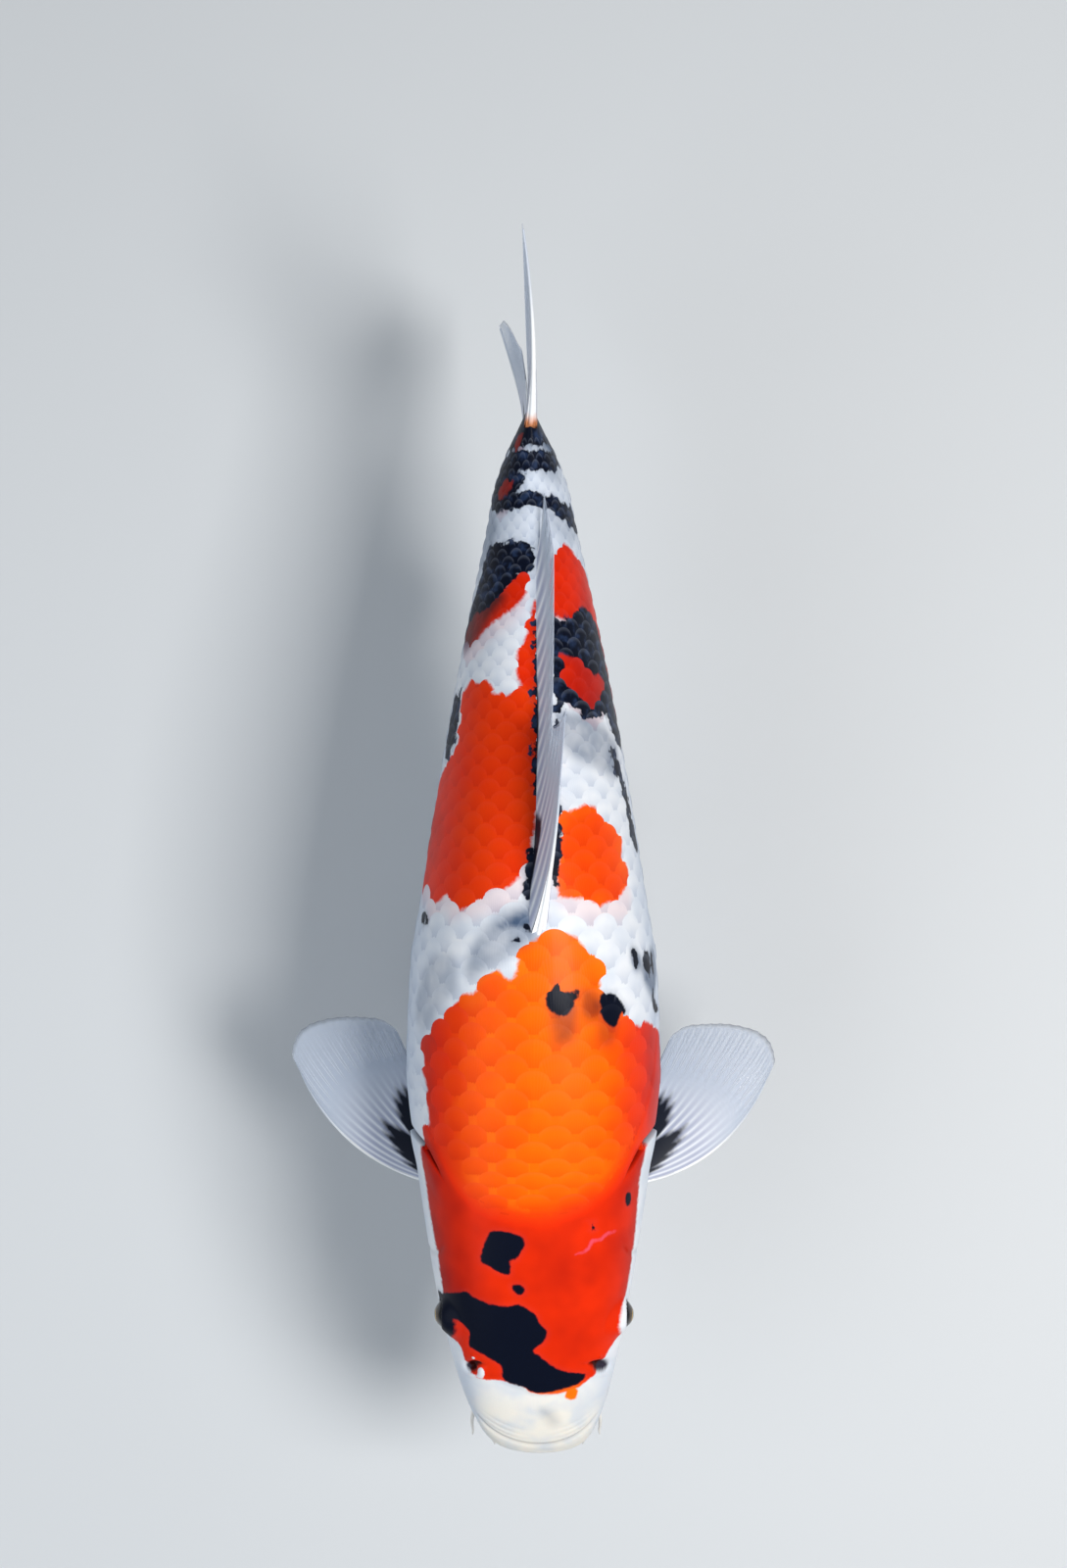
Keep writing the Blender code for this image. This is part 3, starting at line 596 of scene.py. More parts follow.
def gill_relief(share, angle):
    turn = np.abs(angle)
    behind = (share - gill_line(angle)) * LENGTH / MM
    cover = ramp(turn, 44, 62) * (1 - ramp(turn, 134, 154))
    edge = 1.4 * ramp(behind, -24, -3) * (1 - ramp(behind, -0.9, 0.2))
    opening = -2.8 * hill(behind - 1.0, 1.1) * ramp(turn, 48, 56) * (1 - ramp(turn, 152, 168))
    plate = 0.205 - 0.012 * np.cos(np.radians(turn)) + 0.022 * np.abs(turn / 50 - 2) ** 4
    groove = -0.8 * hill((share - plate) * LENGTH / MM, 1.7) * ramp(turn, 50, 60) * (1 - ramp(turn, 138, 150))
    lower = -0.6 * hill(turn - 114 - 8 * ramp(behind, -60, 0), 1.8)
    lower = lower * ramp(behind, -46, -38) * (1 - ramp(behind, -5, -1))
    strips = 0.4 * np.cos(turn * 2 * np.pi / 9) * ramp(turn, 130, 138) * (1 - ramp(turn, 162, 172))
    strips = strips * ramp(share, 0.13, 0.15) * (1 - ramp(behind, -6, -1))
    return cover * edge, opening, groove + lower, strips


def mound(back, around, at, size):
    """A round hill on the hide map."""
    return np.exp(-(((back - at[0]) / size[0]) ** 2) - ((around - at[1]) / size[1]) ** 2)


def nostril_relief(back, around):
    """Pits, and the raised flap and rim round each."""
    pits, rims = np.zeros(back.shape), np.zeros(back.shape)
    for side, out, wide in ((-1, 37, 4.4), (1, 39.5, 6.6)):
        pits += 1.4 * mound(back, around, (53.0, side * (out + 2.6)), (2.8, wide))
        pits += 0.8 * mound(back, around, (56.0, side * (out - 2.4)), (1.4, wide))
        rims += 1.2 * mound(back, around, (51.2, side * (out - 5.6)), (3.6, 2.8))
        rims += 0.9 * mound(back, around, (48.4, side * (out + 1.5)), (1.4, 5.0))
        rims += 0.9 * mound(back, around, (59.8, side * (out - 1.0)), (1.2, 1.6))
    return pits, rims


def lip_relief(points, share, back, around):
    """The lips follow the mouth's line, which drops towards its corners."""
    above = (points[..., 2] - AXIS_HEIGHT) / MM + 11.5 + 9 * np.minimum(share / 0.044, 1.3)
    front = 1 - ramp(back, 21, 30)
    fold = -1.1 * hill(back - 5 - 0.012 * around**2, 1.3)
    fold = fold * (1 - ramp(np.abs(around), 34, 42)) * ramp(above, 0, 3)
    for place, deep in ((8.6, 0.35), (11.6, 0.30), (15.0, 0.22)):
        fold -= deep * hill(back - place - 0.011 * around**2, 0.8) * hill(np.abs(around) - 21, 11)
    ridge = 1.5 * hill(above - 0.8, 3.2) - 3.4 * hill(above + 3.9, 1.0) + 1.6 * hill(above + 7.4, 2.4)
    return front * ridge + fold, above


def surface_normals(points):
    wrapped = np.concatenate([points[:, -1:], points, points[:, :1]], axis=1)
    across = wrapped[:, 2:] - wrapped[:, :-2]
    normals = np.cross(across, np.gradient(points, axis=0))
    return normals / np.linalg.norm(normals, axis=2, keepdims=True)


# %% Shape the head
points = body_point(shares, angle_grid)
cover, opening, grooves, strips = gill_relief(shares, angle_grid)
pits, rims = nostril_relief(back, around)
lips, above_lip = lip_relief(points, shares, back, around)
behind_gill = (shares - gill_line(angle_grid)) * LENGTH / MM
COAT_DEPTH = 0.5  # the skin under the scales lies this much lower
scaled = ramp(back - nape(around), -2, 3) * ramp(behind_gill, 0.5, 3)
relief = cover + opening + grooves + strips + rims - 3.0 * pits + lips - COAT_DEPTH * scaled
# painted shade: how deep each hollow and nostril pit lies sets how much it is darkened in the colours
hollow = -(opening + 0.5 * grooves + 0.5 * np.minimum(lips, 0)) / 2.4
crease_shade = np.clip(hollow + 1.15 * ramp(pits, 0.3, 0.7), 0, 1)
points = points + surface_normals(points) * relief[..., None] * MM
chin = ramp(-above_lip, 3.6, 6) * (1 - ramp(back, 5, 34))
points[..., 1] += 2.6 * MM * chin
print("relief from %.1f to %.1f mm" % (relief.min(), relief.max()))

# %% [markdown]
# A carp's eye stands out from the head, and the skin climbs to meet it in a soft ring, the orbit. Points
# near the eye move sideways until they touch the eyeball, and those inside the ring drop behind it.

# %% Orbits of the eyes
EYE_SHARE = 0.143
EYE_RADIUS = 9.5
EYE_OUT = 46.7  # the eyeball's middle, from the midline
EYE_HEIGHT = 13.0
EYE_Y = SNOUT_Y + EYE_SHARE * LENGTH
EYE_OPENING = 7.6
ORBIT_REACH = 15.5
ORBIT_OUT = 52.5  # the ring's top, from the midline
DROP_INSIDE = 6.5
eye_distance = np.hypot(points[..., 1] - EYE_Y, points[..., 2] - AXIS_HEIGHT - EYE_HEIGHT * MM) / MM
side = np.sign(points[..., 0])
ring_height = ORBIT_OUT - 0.42 * np.maximum(eye_distance - EYE_OPENING, 0)
now = np.abs(points[..., 0] - midline(EYE_SHARE)) / MM
rise = (points[..., 2] - AXIS_HEIGHT) / MM - EYE_HEIGHT
on_side = now > 20
near = (1 - ramp(eye_distance, EYE_OPENING + 0.6, ORBIT_REACH)) * on_side
wanted = now + (np.maximum(ring_height, now) - now) * near
wanted -= DROP_INSIDE * ramp(EYE_OPENING - eye_distance, 0, 0.9) * on_side
points[..., 0] += side * (wanted - now) * MM
# painted shade: the skin at the edge of the eye's opening is darkened too
crease_shade = np.maximum(crease_shade, ramp(EYE_OPENING + 0.5 - eye_distance, 0, 1) * on_side)
print("orbit reaches %.1f mm from the midline" % (wanted[eye_distance < 16].max()))

# %% [markdown]
# The skin also gets a flat map of itself: along the fish one way, round it the other, with the seam under
# the belly. The scales use the same map to find their places; finished colours can be painted on it.

# %% The flat map
MAP_POWER = 0.7


def skin_map(share, angle):
    """The flat map from 0 to 1; the head, with its fine forms, takes more room than its length."""
    return np.stack([(np.asarray(share) / BODY_END) ** MAP_POWER, 0.5 + np.asarray(angle) / 360], -1)


def from_map(flat):
    """The share and angle of places on the flat map."""
    angle = (flat[:, 1] - 0.5) * 360
    return np.clip(flat[:, 0], 0, 1) ** (1 / MAP_POWER) * BODY_END, (angle + 180) % 360 - 180


# %% Build the skin object
BARE_ROUND_EYE = 11.2  # red stops at this distance from the middle of the eye
LID_OVER = 1.6  # the black lid reaches this far past it
FLAP_TOP = 0.58  # above this height a nostril's flap is pale
rows = len(shares)
tip, tail_end = body_point(0.0, 0.0), points[-1].mean(0)
all_points = np.concatenate([points.reshape(-1, 3), [tip, tail_end]])
marks_and_shade = markings_and_shade(shares, angle_grid)
marks_and_shade["crease_shade"] = crease_shade
outside_orbit = np.where(on_side, eye_distance - BARE_ROUND_EYE, -FAR_OUTSIDE)
marks_and_shade["red"] = np.minimum(marks_and_shade["red"], outside_orbit)
lid = np.minimum(LID_OVER - outside_orbit, rise + 4)
marks_and_shade["black"] = np.where(angle_grid < 0, np.maximum(marks_and_shade["black"], lid), marks_and_shade["black"])
pale_flap = np.where(angle_grid < 0, 6 * (FLAP_TOP - rims), -FAR_OUTSIDE)  # the left nostril's flap is red
marks_and_shade["red"] = np.minimum(marks_and_shade["red"], pale_flap)
numbers = {key: np.append(values, [values[0, 0], values[-1, 0]]) for key, values in marks_and_shade.items()}
numbers["cream"][-2] = 1.0  # the tip of the snout
skin = mesh_object("skin", all_points, capped_faces(rows, COLUMNS), numbers)

flat = skin_map(np.append(shares, [0, BODY_END]), np.append(angle_grid, [0, 0]))
corner_points = np.zeros(len(skin.data.loops), int)
skin.data.loops.foreach_get("vertex_index", corner_points)
corner_map = flat[corner_points]
wraps = np.zeros(len(corner_points), bool)
quads = grid_faces(rows, COLUMNS, closed=True)
wraps[: quads.size] = np.repeat(quads[:, 0] % COLUMNS == COLUMNS - 1, 4)
wraps[quads.size + 3 * (COLUMNS - 1) : quads.size + 3 * COLUMNS] = True
wraps[-3:] = True
corner_map[wraps & (corner_map[:, 1] < 0.25), 1] += 1
skin.data.uv_layers.new(name="OFBake").data.foreach_set("uv", corner_map.astype(np.float32).ravel())
print("skin:", triangles(skin), "triangles")

# %% [markdown]
# ## The coat of scales
#
# A carp has big round scales. One row runs along the middle of the back, one along the belly, and 19
# between them on each side, with 30 scales in the row halfway down the side. Each scale is rooted in the
# skin, lies back and covers the roots of the next ones, like tiles, and neighbouring rows are half a scale
# apart. One scale is modelled flat. Geometry Nodes lays a copy at each root on the flat map, then bends all
# of them onto the skin, so each scale follows the body's curve by itself.

# %% One scale
ROWS_A_SIDE = 20
ROW_ANGLE = 180 / ROWS_A_SIDE
SCALE_ALONG, SCALE_ACROSS = 9, 13
SCALE_LIFT = 0.16  # of the free rim over the skin
SCALE_SINK = -0.20  # of the root


def scale_pattern():
    """A flat scale: 1 long, from -1 to 1 wide, its height in metres. Its rim is turned down."""
    t, u = np.meshgrid(np.linspace(0, 1, SCALE_ALONG) ** 0.8, np.linspace(-1, 1, SCALE_ACROSS), indexing="ij")
    along = t * (1 - 0.36 * (1 - np.sqrt(1 - 0.94 * u * u)))
    height = SCALE_SINK + (SCALE_LIFT - SCALE_SINK) * t**0.8 * (1 - 0.5 * u**4) - 0.05 * t**8
    outer = np.stack([along, u, height * MM], -1).reshape(-1, 3)
    grid = np.arange(len(outer)).reshape(SCALE_ALONG, SCALE_ACROSS)
    rim = np.concatenate([grid[:, 0], grid[-1, 1:-1], grid[::-1, -1]])
    skirt = outer[rim] * [0.985, 0.985, 1] - [0, 0, 0.28 * MM]
    faces = grid_faces(SCALE_ALONG, SCALE_ACROSS)[:, ::-1].tolist()
    high = len(outer) + np.arange(len(rim))  # the rim again, so that its edge shades sharp
    low = high + len(rim)
    faces += np.stack([high[:-1], high[1:], low[1:], low[:-1]], -1)[:, ::-1].tolist()
    made = np.concatenate([outer, outer[rim], skirt])
    down = np.repeat([0, 1], [len(outer) + len(rim), len(rim)])
    tube = hill(u, 0.11) * ramp(t, 0.42, 0.55) * (1 - ramp(t, 0.86, 0.93))
    values = {"scale_t": t, "scale_u": u, "tube": tube}
    numbers = {key: np.concatenate([v.ravel(), v.ravel()[rim], v.ravel()[rim]]) for key, v in values.items()}
    return mesh_object("one scale", made, faces, {**numbers, "skirt": down})


one_scale = scale_pattern()
print("one scale:", triangles(one_scale), "triangles")

# %% [markdown]
# The roots stand on the flat map. The distance between scales of a row is greatest on the shoulders and
# smallest on the tail stalk. The first scales behind the head are small and lie almost flush with the skin.

# %% Roots of the scales
PITCH = np.array([  # share of the length, distance
    (0.20, 8.5),
    (0.25, 10.5),
    (0.29, 14.5),
    (0.34, 18.0),
    (0.42, 18.0),
    (0.52, 15.5),
    (0.62, 13.3),
    (0.75, 11.8),
    (0.88, 9.6),
    (1.02, 8.0),
])
SCALE_LENGTH = 1.7  # in distances to the next scale
HALF_WIDTH = 0.9  # of a scale, in rows
LATERAL_ROW = 10


def scale_roots(name, side):
    """Points on the flat map, with the size of each scale there."""
    fine = np.linspace(0.18, 1.01, 2000)
    pitch = through(PITCH, 1, fine) * MM / LENGTH
    number = np.concatenate([[0], np.cumsum(np.diff(fine) / pitch[:-1])])
    share, angle, odd, settle = [], [], [], []
    for row in range(ROWS_A_SIDE + 1) if side > 0 else range(1, ROWS_A_SIDE):
        places = np.interp(np.arange(number[-1]) + 0.5 * (row % 2), number, fine)
        turn = row * ROW_ANGLE
        step = np.interp(places, fine, pitch)
        back, around = hide_place(places + step * (SCALE_LENGTH - 1), np.full(places.shape, turn))
        start = np.where(turn < 52, nape(around), gill_line(turn) * LENGTH / MM + 5)
        start = np.maximum(start, gill_line(turn) * LENGTH / MM + 6)
        end = 1.0 - 0.012 * np.cos(np.radians(turn)) ** 2
        keep = (back > start) & (places + step < end)
        share += places[keep].tolist()
        angle += [turn] * keep.sum()
        odd += [row == LATERAL_ROW] * keep.sum()
        settle += (0.25 + 0.75 * ramp(back - start, 0, 34))[keep].tolist()
    share, angle = np.array(share), np.array(angle)
    length = np.interp(share, fine, pitch) * SCALE_LENGTH
    start, finish = skin_map(share, side * angle), skin_map(share + length, side * angle)
    places = np.concatenate([start, np.zeros((len(share), 1))], 1)
    numbers = {"long": finish[:, 0] - start[:, 0], "wide": 0 * share + HALF_WIDTH * ROW_ANGLE / 360}
    return mesh_object(name, places, numbers={**numbers, "lateral": odd, "settle": settle})


# %% [markdown]
# The tree copies the scale to every root, still on the flat map. Each point then looks up its place on the
# skin's own map, which gives where it lies on the body and which way is out. It moves there, and out by its
# height in the pattern. Small random changes of size keep the coat from looking stamped.

# %% Helpers for Geometry Nodes


def geometry_tree(name, **kinds):
    """A tree that takes a geometry and further inputs of these kinds, and gives a geometry."""
    tree = bpy.data.node_groups.new(name, "GeometryNodeTree")
    for label, kind in {"Geometry": "Geometry", **kinds}.items():
        tree.interface.new_socket(label, in_out="INPUT", socket_type="NodeSocket" + kind)
    tree.interface.new_socket("Geometry", in_out="OUTPUT", socket_type="NodeSocketGeometry")
    return tree, tree.nodes.new("NodeGroupInput").outputs


def named(tree, label, kind="FLOAT"):
    made = add_node(tree, "GeometryNodeInputNamedAttribute", {"Name": label}, data_type=kind)
    return made.outputs["Attribute"]


def stored(tree, geometry, label, value, kind="FLOAT", domain="POINT"):
    inputs = {"Geometry": geometry, "Name": label, "Value": value}
    made = add_node(tree, "GeometryNodeStoreNamedAttribute", inputs, data_type=kind, domain=domain)
    return made.outputs[0]


def mesh_of(tree, thing):
    return add_node(tree, "GeometryNodeObjectInfo", {"Object": thing}).outputs["Geometry"]


def give(tree, geometry, finish):
    """Paints a geometry and makes it the tree's result."""
    inputs = {"Geometry": geometry, "Material": finish}
    painted = add_node(tree, "GeometryNodeSetMaterial", inputs).outputs[0]
    add_node(tree, "NodeGroupOutput", {0: painted})


def evaluated(thing, tree, values):
    """Runs a node tree on an object and keeps the result as a plain mesh."""
    change = thing.modifiers.new("nodes", "NODES")
    change.node_group = tree
    for item in tree.interface.items_tree:
        if item.in_out == "INPUT" and item.name in values:
            change[item.identifier] = values[item.name]
    now = thing.evaluated_get(bpy.context.evaluated_depsgraph_get())
    mesh = bpy.data.meshes.new_from_object(now)
    thing.modifiers.remove(change)
    thing.data = mesh
    return thing


# %% Node tree that lays the scales


def scale_tree():
    kinds = {"Skin": "Object", "Scale": "Object", "Finish": "Material", "Seed": "Int"}
    tree, given = geometry_tree("lay scales", **kinds)
    tree.interface.items_tree["Seed"].default_value = 7

    def random(low, high, offset):
        number = plus(tree, given["Seed"], offset)
        inputs = {"Min": (low, low, low), "Max": (high, high, high), "Seed": number}
        made = add_node(tree, "FunctionNodeRandomValue", inputs, data_type="FLOAT_VECTOR")
        return parts(tree, made.outputs[0])

    place = add_node(tree, "GeometryNodeInputPosition").outputs[0]
    roots = stored(tree, given["Geometry"], "root", place, "FLOAT_VECTOR")
    jitter = random(0.97, 1.03, 0)
    stand = times(tree, random(0.75, 1.2, 1)[0], named(tree, "settle"))
    roots = stored(tree, roots, "stand", stand)
    long = times(tree, named(tree, "long"), jitter[0])
    wide = times(tree, named(tree, "wide"), jitter[1])
    size = vector(tree, long, wide, 1.0)
    inputs = {"Points": roots, "Instance": mesh_of(tree, given["Scale"]), "Scale": size}
    copies = add_node(tree, "GeometryNodeInstanceOnPoints", inputs).outputs[0]
    real = add_node(tree, "GeometryNodeRealizeInstances", {"Geometry": copies}).outputs[0]

    own = parts(tree, place)
    root = parts(tree, named(tree, "root", "FLOAT_VECTOR"))
    sample = vector(tree, own[0], maths(tree, "FRACT", plus(tree, own[1], 1.0)))
    real = stored(tree, real, "flat", place, "FLOAT_VECTOR")
    body = mesh_of(tree, given["Skin"])
    normal = add_node(tree, "GeometryNodeInputNormal").outputs[0]
    on_map = named(tree, "OFBake", "FLOAT_VECTOR")

    def on_skin(value):
        inputs = {"Mesh": body, "Value": value, "UV Map": on_map, "Sample UV": sample}
        return add_node(tree, "GeometryNodeSampleUVSurface", inputs, data_type="FLOAT_VECTOR").outputs[0]

    bulge = times(tree, times(tree, named(tree, "tube"), named(tree, "lateral")), 0.45 * MM)
    height = plus(tree, times(tree, own[2], named(tree, "stand")), bulge)
    inputs = {0: on_skin(normal), "Scale": height}
    lifted = add_node(tree, "ShaderNodeVectorMath", inputs, operation="SCALE").outputs[0]
    inputs = {0: on_skin(place), 1: lifted}
    moved = add_node(tree, "ShaderNodeVectorMath", inputs, operation="ADD").outputs[0]
    bent = add_node(tree, "GeometryNodeSetPosition", {"Geometry": real, "Position": moved}).outputs[0]
    patch = [times_plus(tree, named(tree, "scale_" + axis), room, root[i])
             for i, (axis, room) in enumerate((("t", 0.008), ("u", 0.004)))]
    give(tree, stored(tree, bent, "OFBake", vector(tree, *patch), "FLOAT2", "CORNER"), given["Finish"])
    return tree


# %% [markdown]
# ## Colours of a koi
#
# The skin and the scales share one set of colours, with painted light and shade among them. White is the
# ground. Red lies over it, black over red, and black that lies deep shows through white skin as grey-blue.
# Painted shade makes the white darker and bluer down the flanks and towards the tail, deepens the red down
# the sides and darkens the hollows of the head. The edge of each patch follows the scales, because a scale
# takes most of its colour from its own middle.

# %% A node group for the colours


def koi_colours_and_shade():
    group = bpy.data.node_groups.new("koi colours and shade", "ShaderNodeTree")
    group.interface.new_socket("Color", in_out="OUTPUT", socket_type="NodeSocketColor")
    place = own_place(group)
    fine = noise(group, 420.0, 3.0, place)
    broad = noise(group, 60.0, 2.0, place)
    ragged = times_plus(group, fine, 1.6, -0.8)
    wavy = times_plus(group, noise(group, 170.0, 2.0, place), 8.0, -4.0)
    # painted shade: the white turns darker and bluer where flank is high
    white = blend(group, drawn(group, "flank"), (0.80, 0.82, 0.86, 1), (0.60, 0.66, 0.76, 1))
    white = blend(group, drawn(group, "cream"), white, (0.84, 0.80, 0.72, 1))
    shade = times_plus(group, drawn(group, "cream"), 0.2, 0.36)
    shade = times(group, shade, step(group, broad, 0.35, 0.7))
    white = blend(group, shade, white, (0.52, 0.60, 0.72, 1))
    cloud = times(group, drawn(group, "cloud"), step(group, broad, 0.2, 0.75, 0.75, 1.15))
    ground = blend(group, cloud, white, (0.075, 0.115, 0.19, 1))
    ground = blend(group, times(group, drawn(group, "pink"), 0.22), ground, (0.85, 0.30, 0.28, 1))
    mottled = times_plus(group, noise(group, 34.0, 2.0, place), 0.36, -0.18)
    warmth_and_painted_light = plus(group, drawn(group, "warmth_and_painted_light"), mottled)
    red = add_node(group, "ShaderNodeValToRGB", {0: warmth_and_painted_light})
    stops = red.color_ramp.elements
    for i, (at, colour) in enumerate((
            (0.0, (0.36, 0.006, 0.003, 1)),
            (0.25, (0.78, 0.026, 0.002, 1)),
            (0.55, (0.84, 0.050, 0.002, 1)),
            (0.8, (0.96, 0.092, 0.001, 1)),
            (1.0, (1.0, 0.145, 0.001, 1)))):
        stop = stops[i] if i < 2 else stops.new(at)
        stop.position = at
        stop.color = colour
    depth = plus(group, drawn(group, "red"), ragged)
    golden = times(group, step(group, depth, 6.5, 0.6, 0.0, 0.6), step(group, warmth_and_painted_light, 0.5, 0.9))
    red = blend(group, golden, red.outputs[0], (0.98, 0.21, 0.006, 1))
    clouded = blend(group, times(group, cloud, 0.85), red, (0.075, 0.014, 0.013, 1))
    made = blend(group, step(group, depth, -0.7, 0.7), ground, clouded)
    scratch = plus(group, drawn(group, "scratch"), ragged)
    made = blend(group, step(group, scratch, -0.9, 0.5, 0.0, 0.5), made, (0.86, 0.13, 0.24, 1))
    streak = plus(group, drawn(group, "streak"), wavy)
    broken = times_plus(group, times(group, wavy, drawn(group, "navy")), 1.3, ragged)
    black = plus(group, maths(group, "MAXIMUM", drawn(group, "black"), streak), broken)
    uncovered = maths(group, "SUBTRACT", 0.9, plus(group, drawn(group, "over"), ragged))
    black = maths(group, "MINIMUM", black, uncovered)
    halo = step(group, black, -4.0, 0.5, 0.0, 0.22)
    halo = times(group, halo, step(group, depth, -0.7, 0.7, 1.0, 0.2))
    made = blend(group, halo, made, (0.10, 0.13, 0.20, 1))
    navy = step(group, wavy, -0.4, 1.8, 0.0, 0.6)
    navy = times(group, navy, drawn(group, "navy"))
    ink = blend(group, navy, (0.003, 0.005, 0.014, 1), (0.030, 0.055, 0.13, 1))
    made = blend(group, step(group, black, -0.8, 0.5), made, ink)
    # painted shade darkens the hollows of the head, the nostril pits and the skin round each eye
    made = blend(group, drawn(group, "crease_shade"), made, (0.05, 0.04, 0.06, 1), "MULTIPLY")
    add_node(group, "NodeGroupOutput", {0: made})
    return group


COLOURS_AND_SHADE = koi_colours_and_shade()

# %% [markdown]
# The skin lets a little light in, as flesh does. The scales take the same colours, with painted shade towards
# the root, which the scale in front covers, a painted sheen that makes them paler at the rim, and painted
# shade on the turned-down edge. Fine grooves run out over each like spokes.

# %% Skin and scale materials
WET = {"Coat Weight": 0.02, "Coat Roughness": 0.12, "Specular IOR Level": 0.06}
FLESH = {"Subsurface Weight": 0.08, "Subsurface Radius": (0.004, 0.002, 0.0015)}
SKIN, tree, shader = new_material("wet koi skin", 0.40, {**WET, **FLESH})
colour = add_node(tree, "ShaderNodeGroup", node_tree=COLOURS_AND_SHADE).outputs[0]
tree.links.new(colour, shader.inputs["Base Color"])
bump(tree, shader, noise(tree, 900.0, 4.0, own_place(tree)), 0.0003, 0.25)

SCALES, tree, shader = new_material("wet koi scales", 0.40, WET)
colour = add_node(tree, "ShaderNodeGroup", node_tree=COLOURS_AND_SHADE).outputs[0]
on_red = step(tree, drawn(tree, "red"), -1.0, 1.0)
# painted sheen: the rim of each scale drawn a little bluer, and paler where the colour is dark
rim = step(tree, drawn(tree, "scale_t"), 0.84, 1.0, 0.0, 0.07)
rim = times(tree, rim, times_plus(tree, on_red, -0.9, 1.0))
colour = blend(tree, rim, colour, (0.55, 0.62, 0.80, 1))
# painted shade: each scale darker towards its root, where the scale in front covers it
root_shade_colour = blend(tree, on_red, (0.42, 0.48, 0.62, 1), (0.72, 0.30, 0.40, 1))
root_shade = step(tree, drawn(tree, "scale_t"), 0.40, 0.90, 0.42, 0.0)
colour = blend(tree, root_shade, colour, root_shade_colour, "MULTIPLY")
line = times(tree, times(tree, drawn(tree, "tube"), drawn(tree, "lateral")), 0.7)
colour = blend(tree, line, colour, (0.42, 0.46, 0.55, 1), "MULTIPLY")
# painted shade: the turned-down edge of each scale darkened
skirt = times(tree, drawn(tree, "skirt"), 0.25)
colour = blend(tree, skirt, colour, (0.20, 0.20, 0.24, 1), "MULTIPLY")
tree.links.new(colour, shader.inputs["Base Color"])
spoke = maths(tree, "DIVIDE", drawn(tree, "scale_u"), plus(tree, drawn(tree, "scale_t"), 0.4))
bump(tree, shader, bands(tree, spoke, 2.6, 0.6), 0.0002, 0.15)
skin.data.materials.append(SKIN)

# %% [markdown]
# The tree now lays each side's coat. Every point of a scale then gets its marks. A mark can be read at the
# point itself, which cuts across scales, or at the middle of the scale, which colours each scale as a whole.

# %% Lay the scales
LAY_SCALES = scale_tree()
SCALE_MIDDLE = 0.72  # of the scale's length, from the root
# How closely each mark keeps to its own place on a scale: 0 takes the colour of the scale's middle
FOLLOW = (
    (("red", "warmth_and_painted_light", "pink", "over"), 0.5),
    (("black",), 0.8),
    (("streak", "cloud", "cream", "flank", "navy", "scratch"), 1.0),
)
coats = []
for name, side in (("scales_left", 1), ("scales_right", -1)):
    coat = scale_roots(name, side)
    count = len(coat.data.vertices)
    evaluated(coat, LAY_SCALES, {"Skin": skin, "Scale": one_scale, "Finish": SCALES})
    mesh = coat.data
    own, root = (read_back(mesh, key, 3)[:, :2] for key in ("flat", "root"))
    long = read_back(mesh, "long")
    middle = root + np.stack([SCALE_MIDDLE * long, 0 * long], -1)
    for keys, follow in FOLLOW:
        found = markings_and_shade(*from_map(middle + (own - middle) * follow))
        store(mesh, {key: found[key] for key in keys})
    mesh.shade_smooth()
    coats.append(coat)
    print(name + ":", count, "scales,", triangles(coat), "triangles")
bpy.data.objects.remove(one_scale)

# %% [markdown]
# ## Eyes
#
# A koi's eye is a ball in a tight ring of skin. Its pupil is round and black, with a thin ring of gold, and
# the iris is dark. Each point stores its angle from the line of sight, so the rings of colour stay sharp.

# %% Eyeballs
CORNEA = 0.035  # how far it stands out, in radii of the eye


def eyeball(name, side):
    polar = np.concatenate([np.linspace(0, 60, 31), np.linspace(66, 180, 20)])[1:-1]
    turn = np.arange(48) * 7.5
    sight = np.array([side, -0.10, 0.02])
    sight = sight / np.linalg.norm(sight)
    up = np.cross(sight, [0, side, 0])
    up = up / np.linalg.norm(up)
    ahead = np.cross(up, sight)
    radius = EYE_RADIUS * MM * (1 + CORNEA * (1 - ramp(polar, 14, 44)))
    p, a = np.radians(polar)[:, None, None], np.radians(turn)[None, :, None]
    round_it = np.cos(a) * up + np.sin(a) * ahead
    centre = np.array([midline(EYE_SHARE) + side * EYE_OUT * MM, EYE_Y, AXIS_HEIGHT + EYE_HEIGHT * MM])
    points = centre + radius[:, None, None] * (np.cos(p) * sight + np.sin(p) * round_it)
    poles = centre + np.array([1 + CORNEA, -1.0])[:, None] * EYE_RADIUS * MM * sight
    faces = [face[::-1] for face in capped_faces(*points.shape[:2])]
    values = np.append(np.repeat(polar, len(turn)), [0, 180])
    return mesh_object(name, np.concatenate([points.reshape(-1, 3), poles]), faces, {"from_sight": values})


# %% Eye material
CLEAR = {"Coat Weight": 1.0, "Coat Roughness": 0.02, "Specular IOR Level": 0.15}
EYE, tree, shader = new_material("wet eye", 0.06, CLEAR)
uneven = times(tree, noise(tree, 900.0, 2.0, own_place(tree)), 1.5)
angle = plus(tree, drawn(tree, "from_sight"), uneven)
flecks = noise(tree, 1400.0, 3.0, own_place(tree))
iris = blend(tree, flecks, (0.020, 0.013, 0.009, 1), (0.09, 0.055, 0.020, 1))
iris = blend(tree, step(tree, angle, 33.0, 45.0), iris, (0.012, 0.012, 0.016, 1))
iris = blend(tree, step(tree, angle, 23.5, 25.5), (0.72, 0.46, 0.10, 1), iris)
iris = blend(tree, step(tree, angle, 21.0, 22.0), (0.001, 0.001, 0.002, 1), iris)
tree.links.new(iris, shader.inputs["Base Color"])
tree.links.new(step(tree, angle, 46.0, 60.0, 1.0, 0.0), shader.inputs["Coat Weight"])
eyes = {"left": eyeball("left_eyeball", 1), "right": eyeball("right_eyeball", -1)}
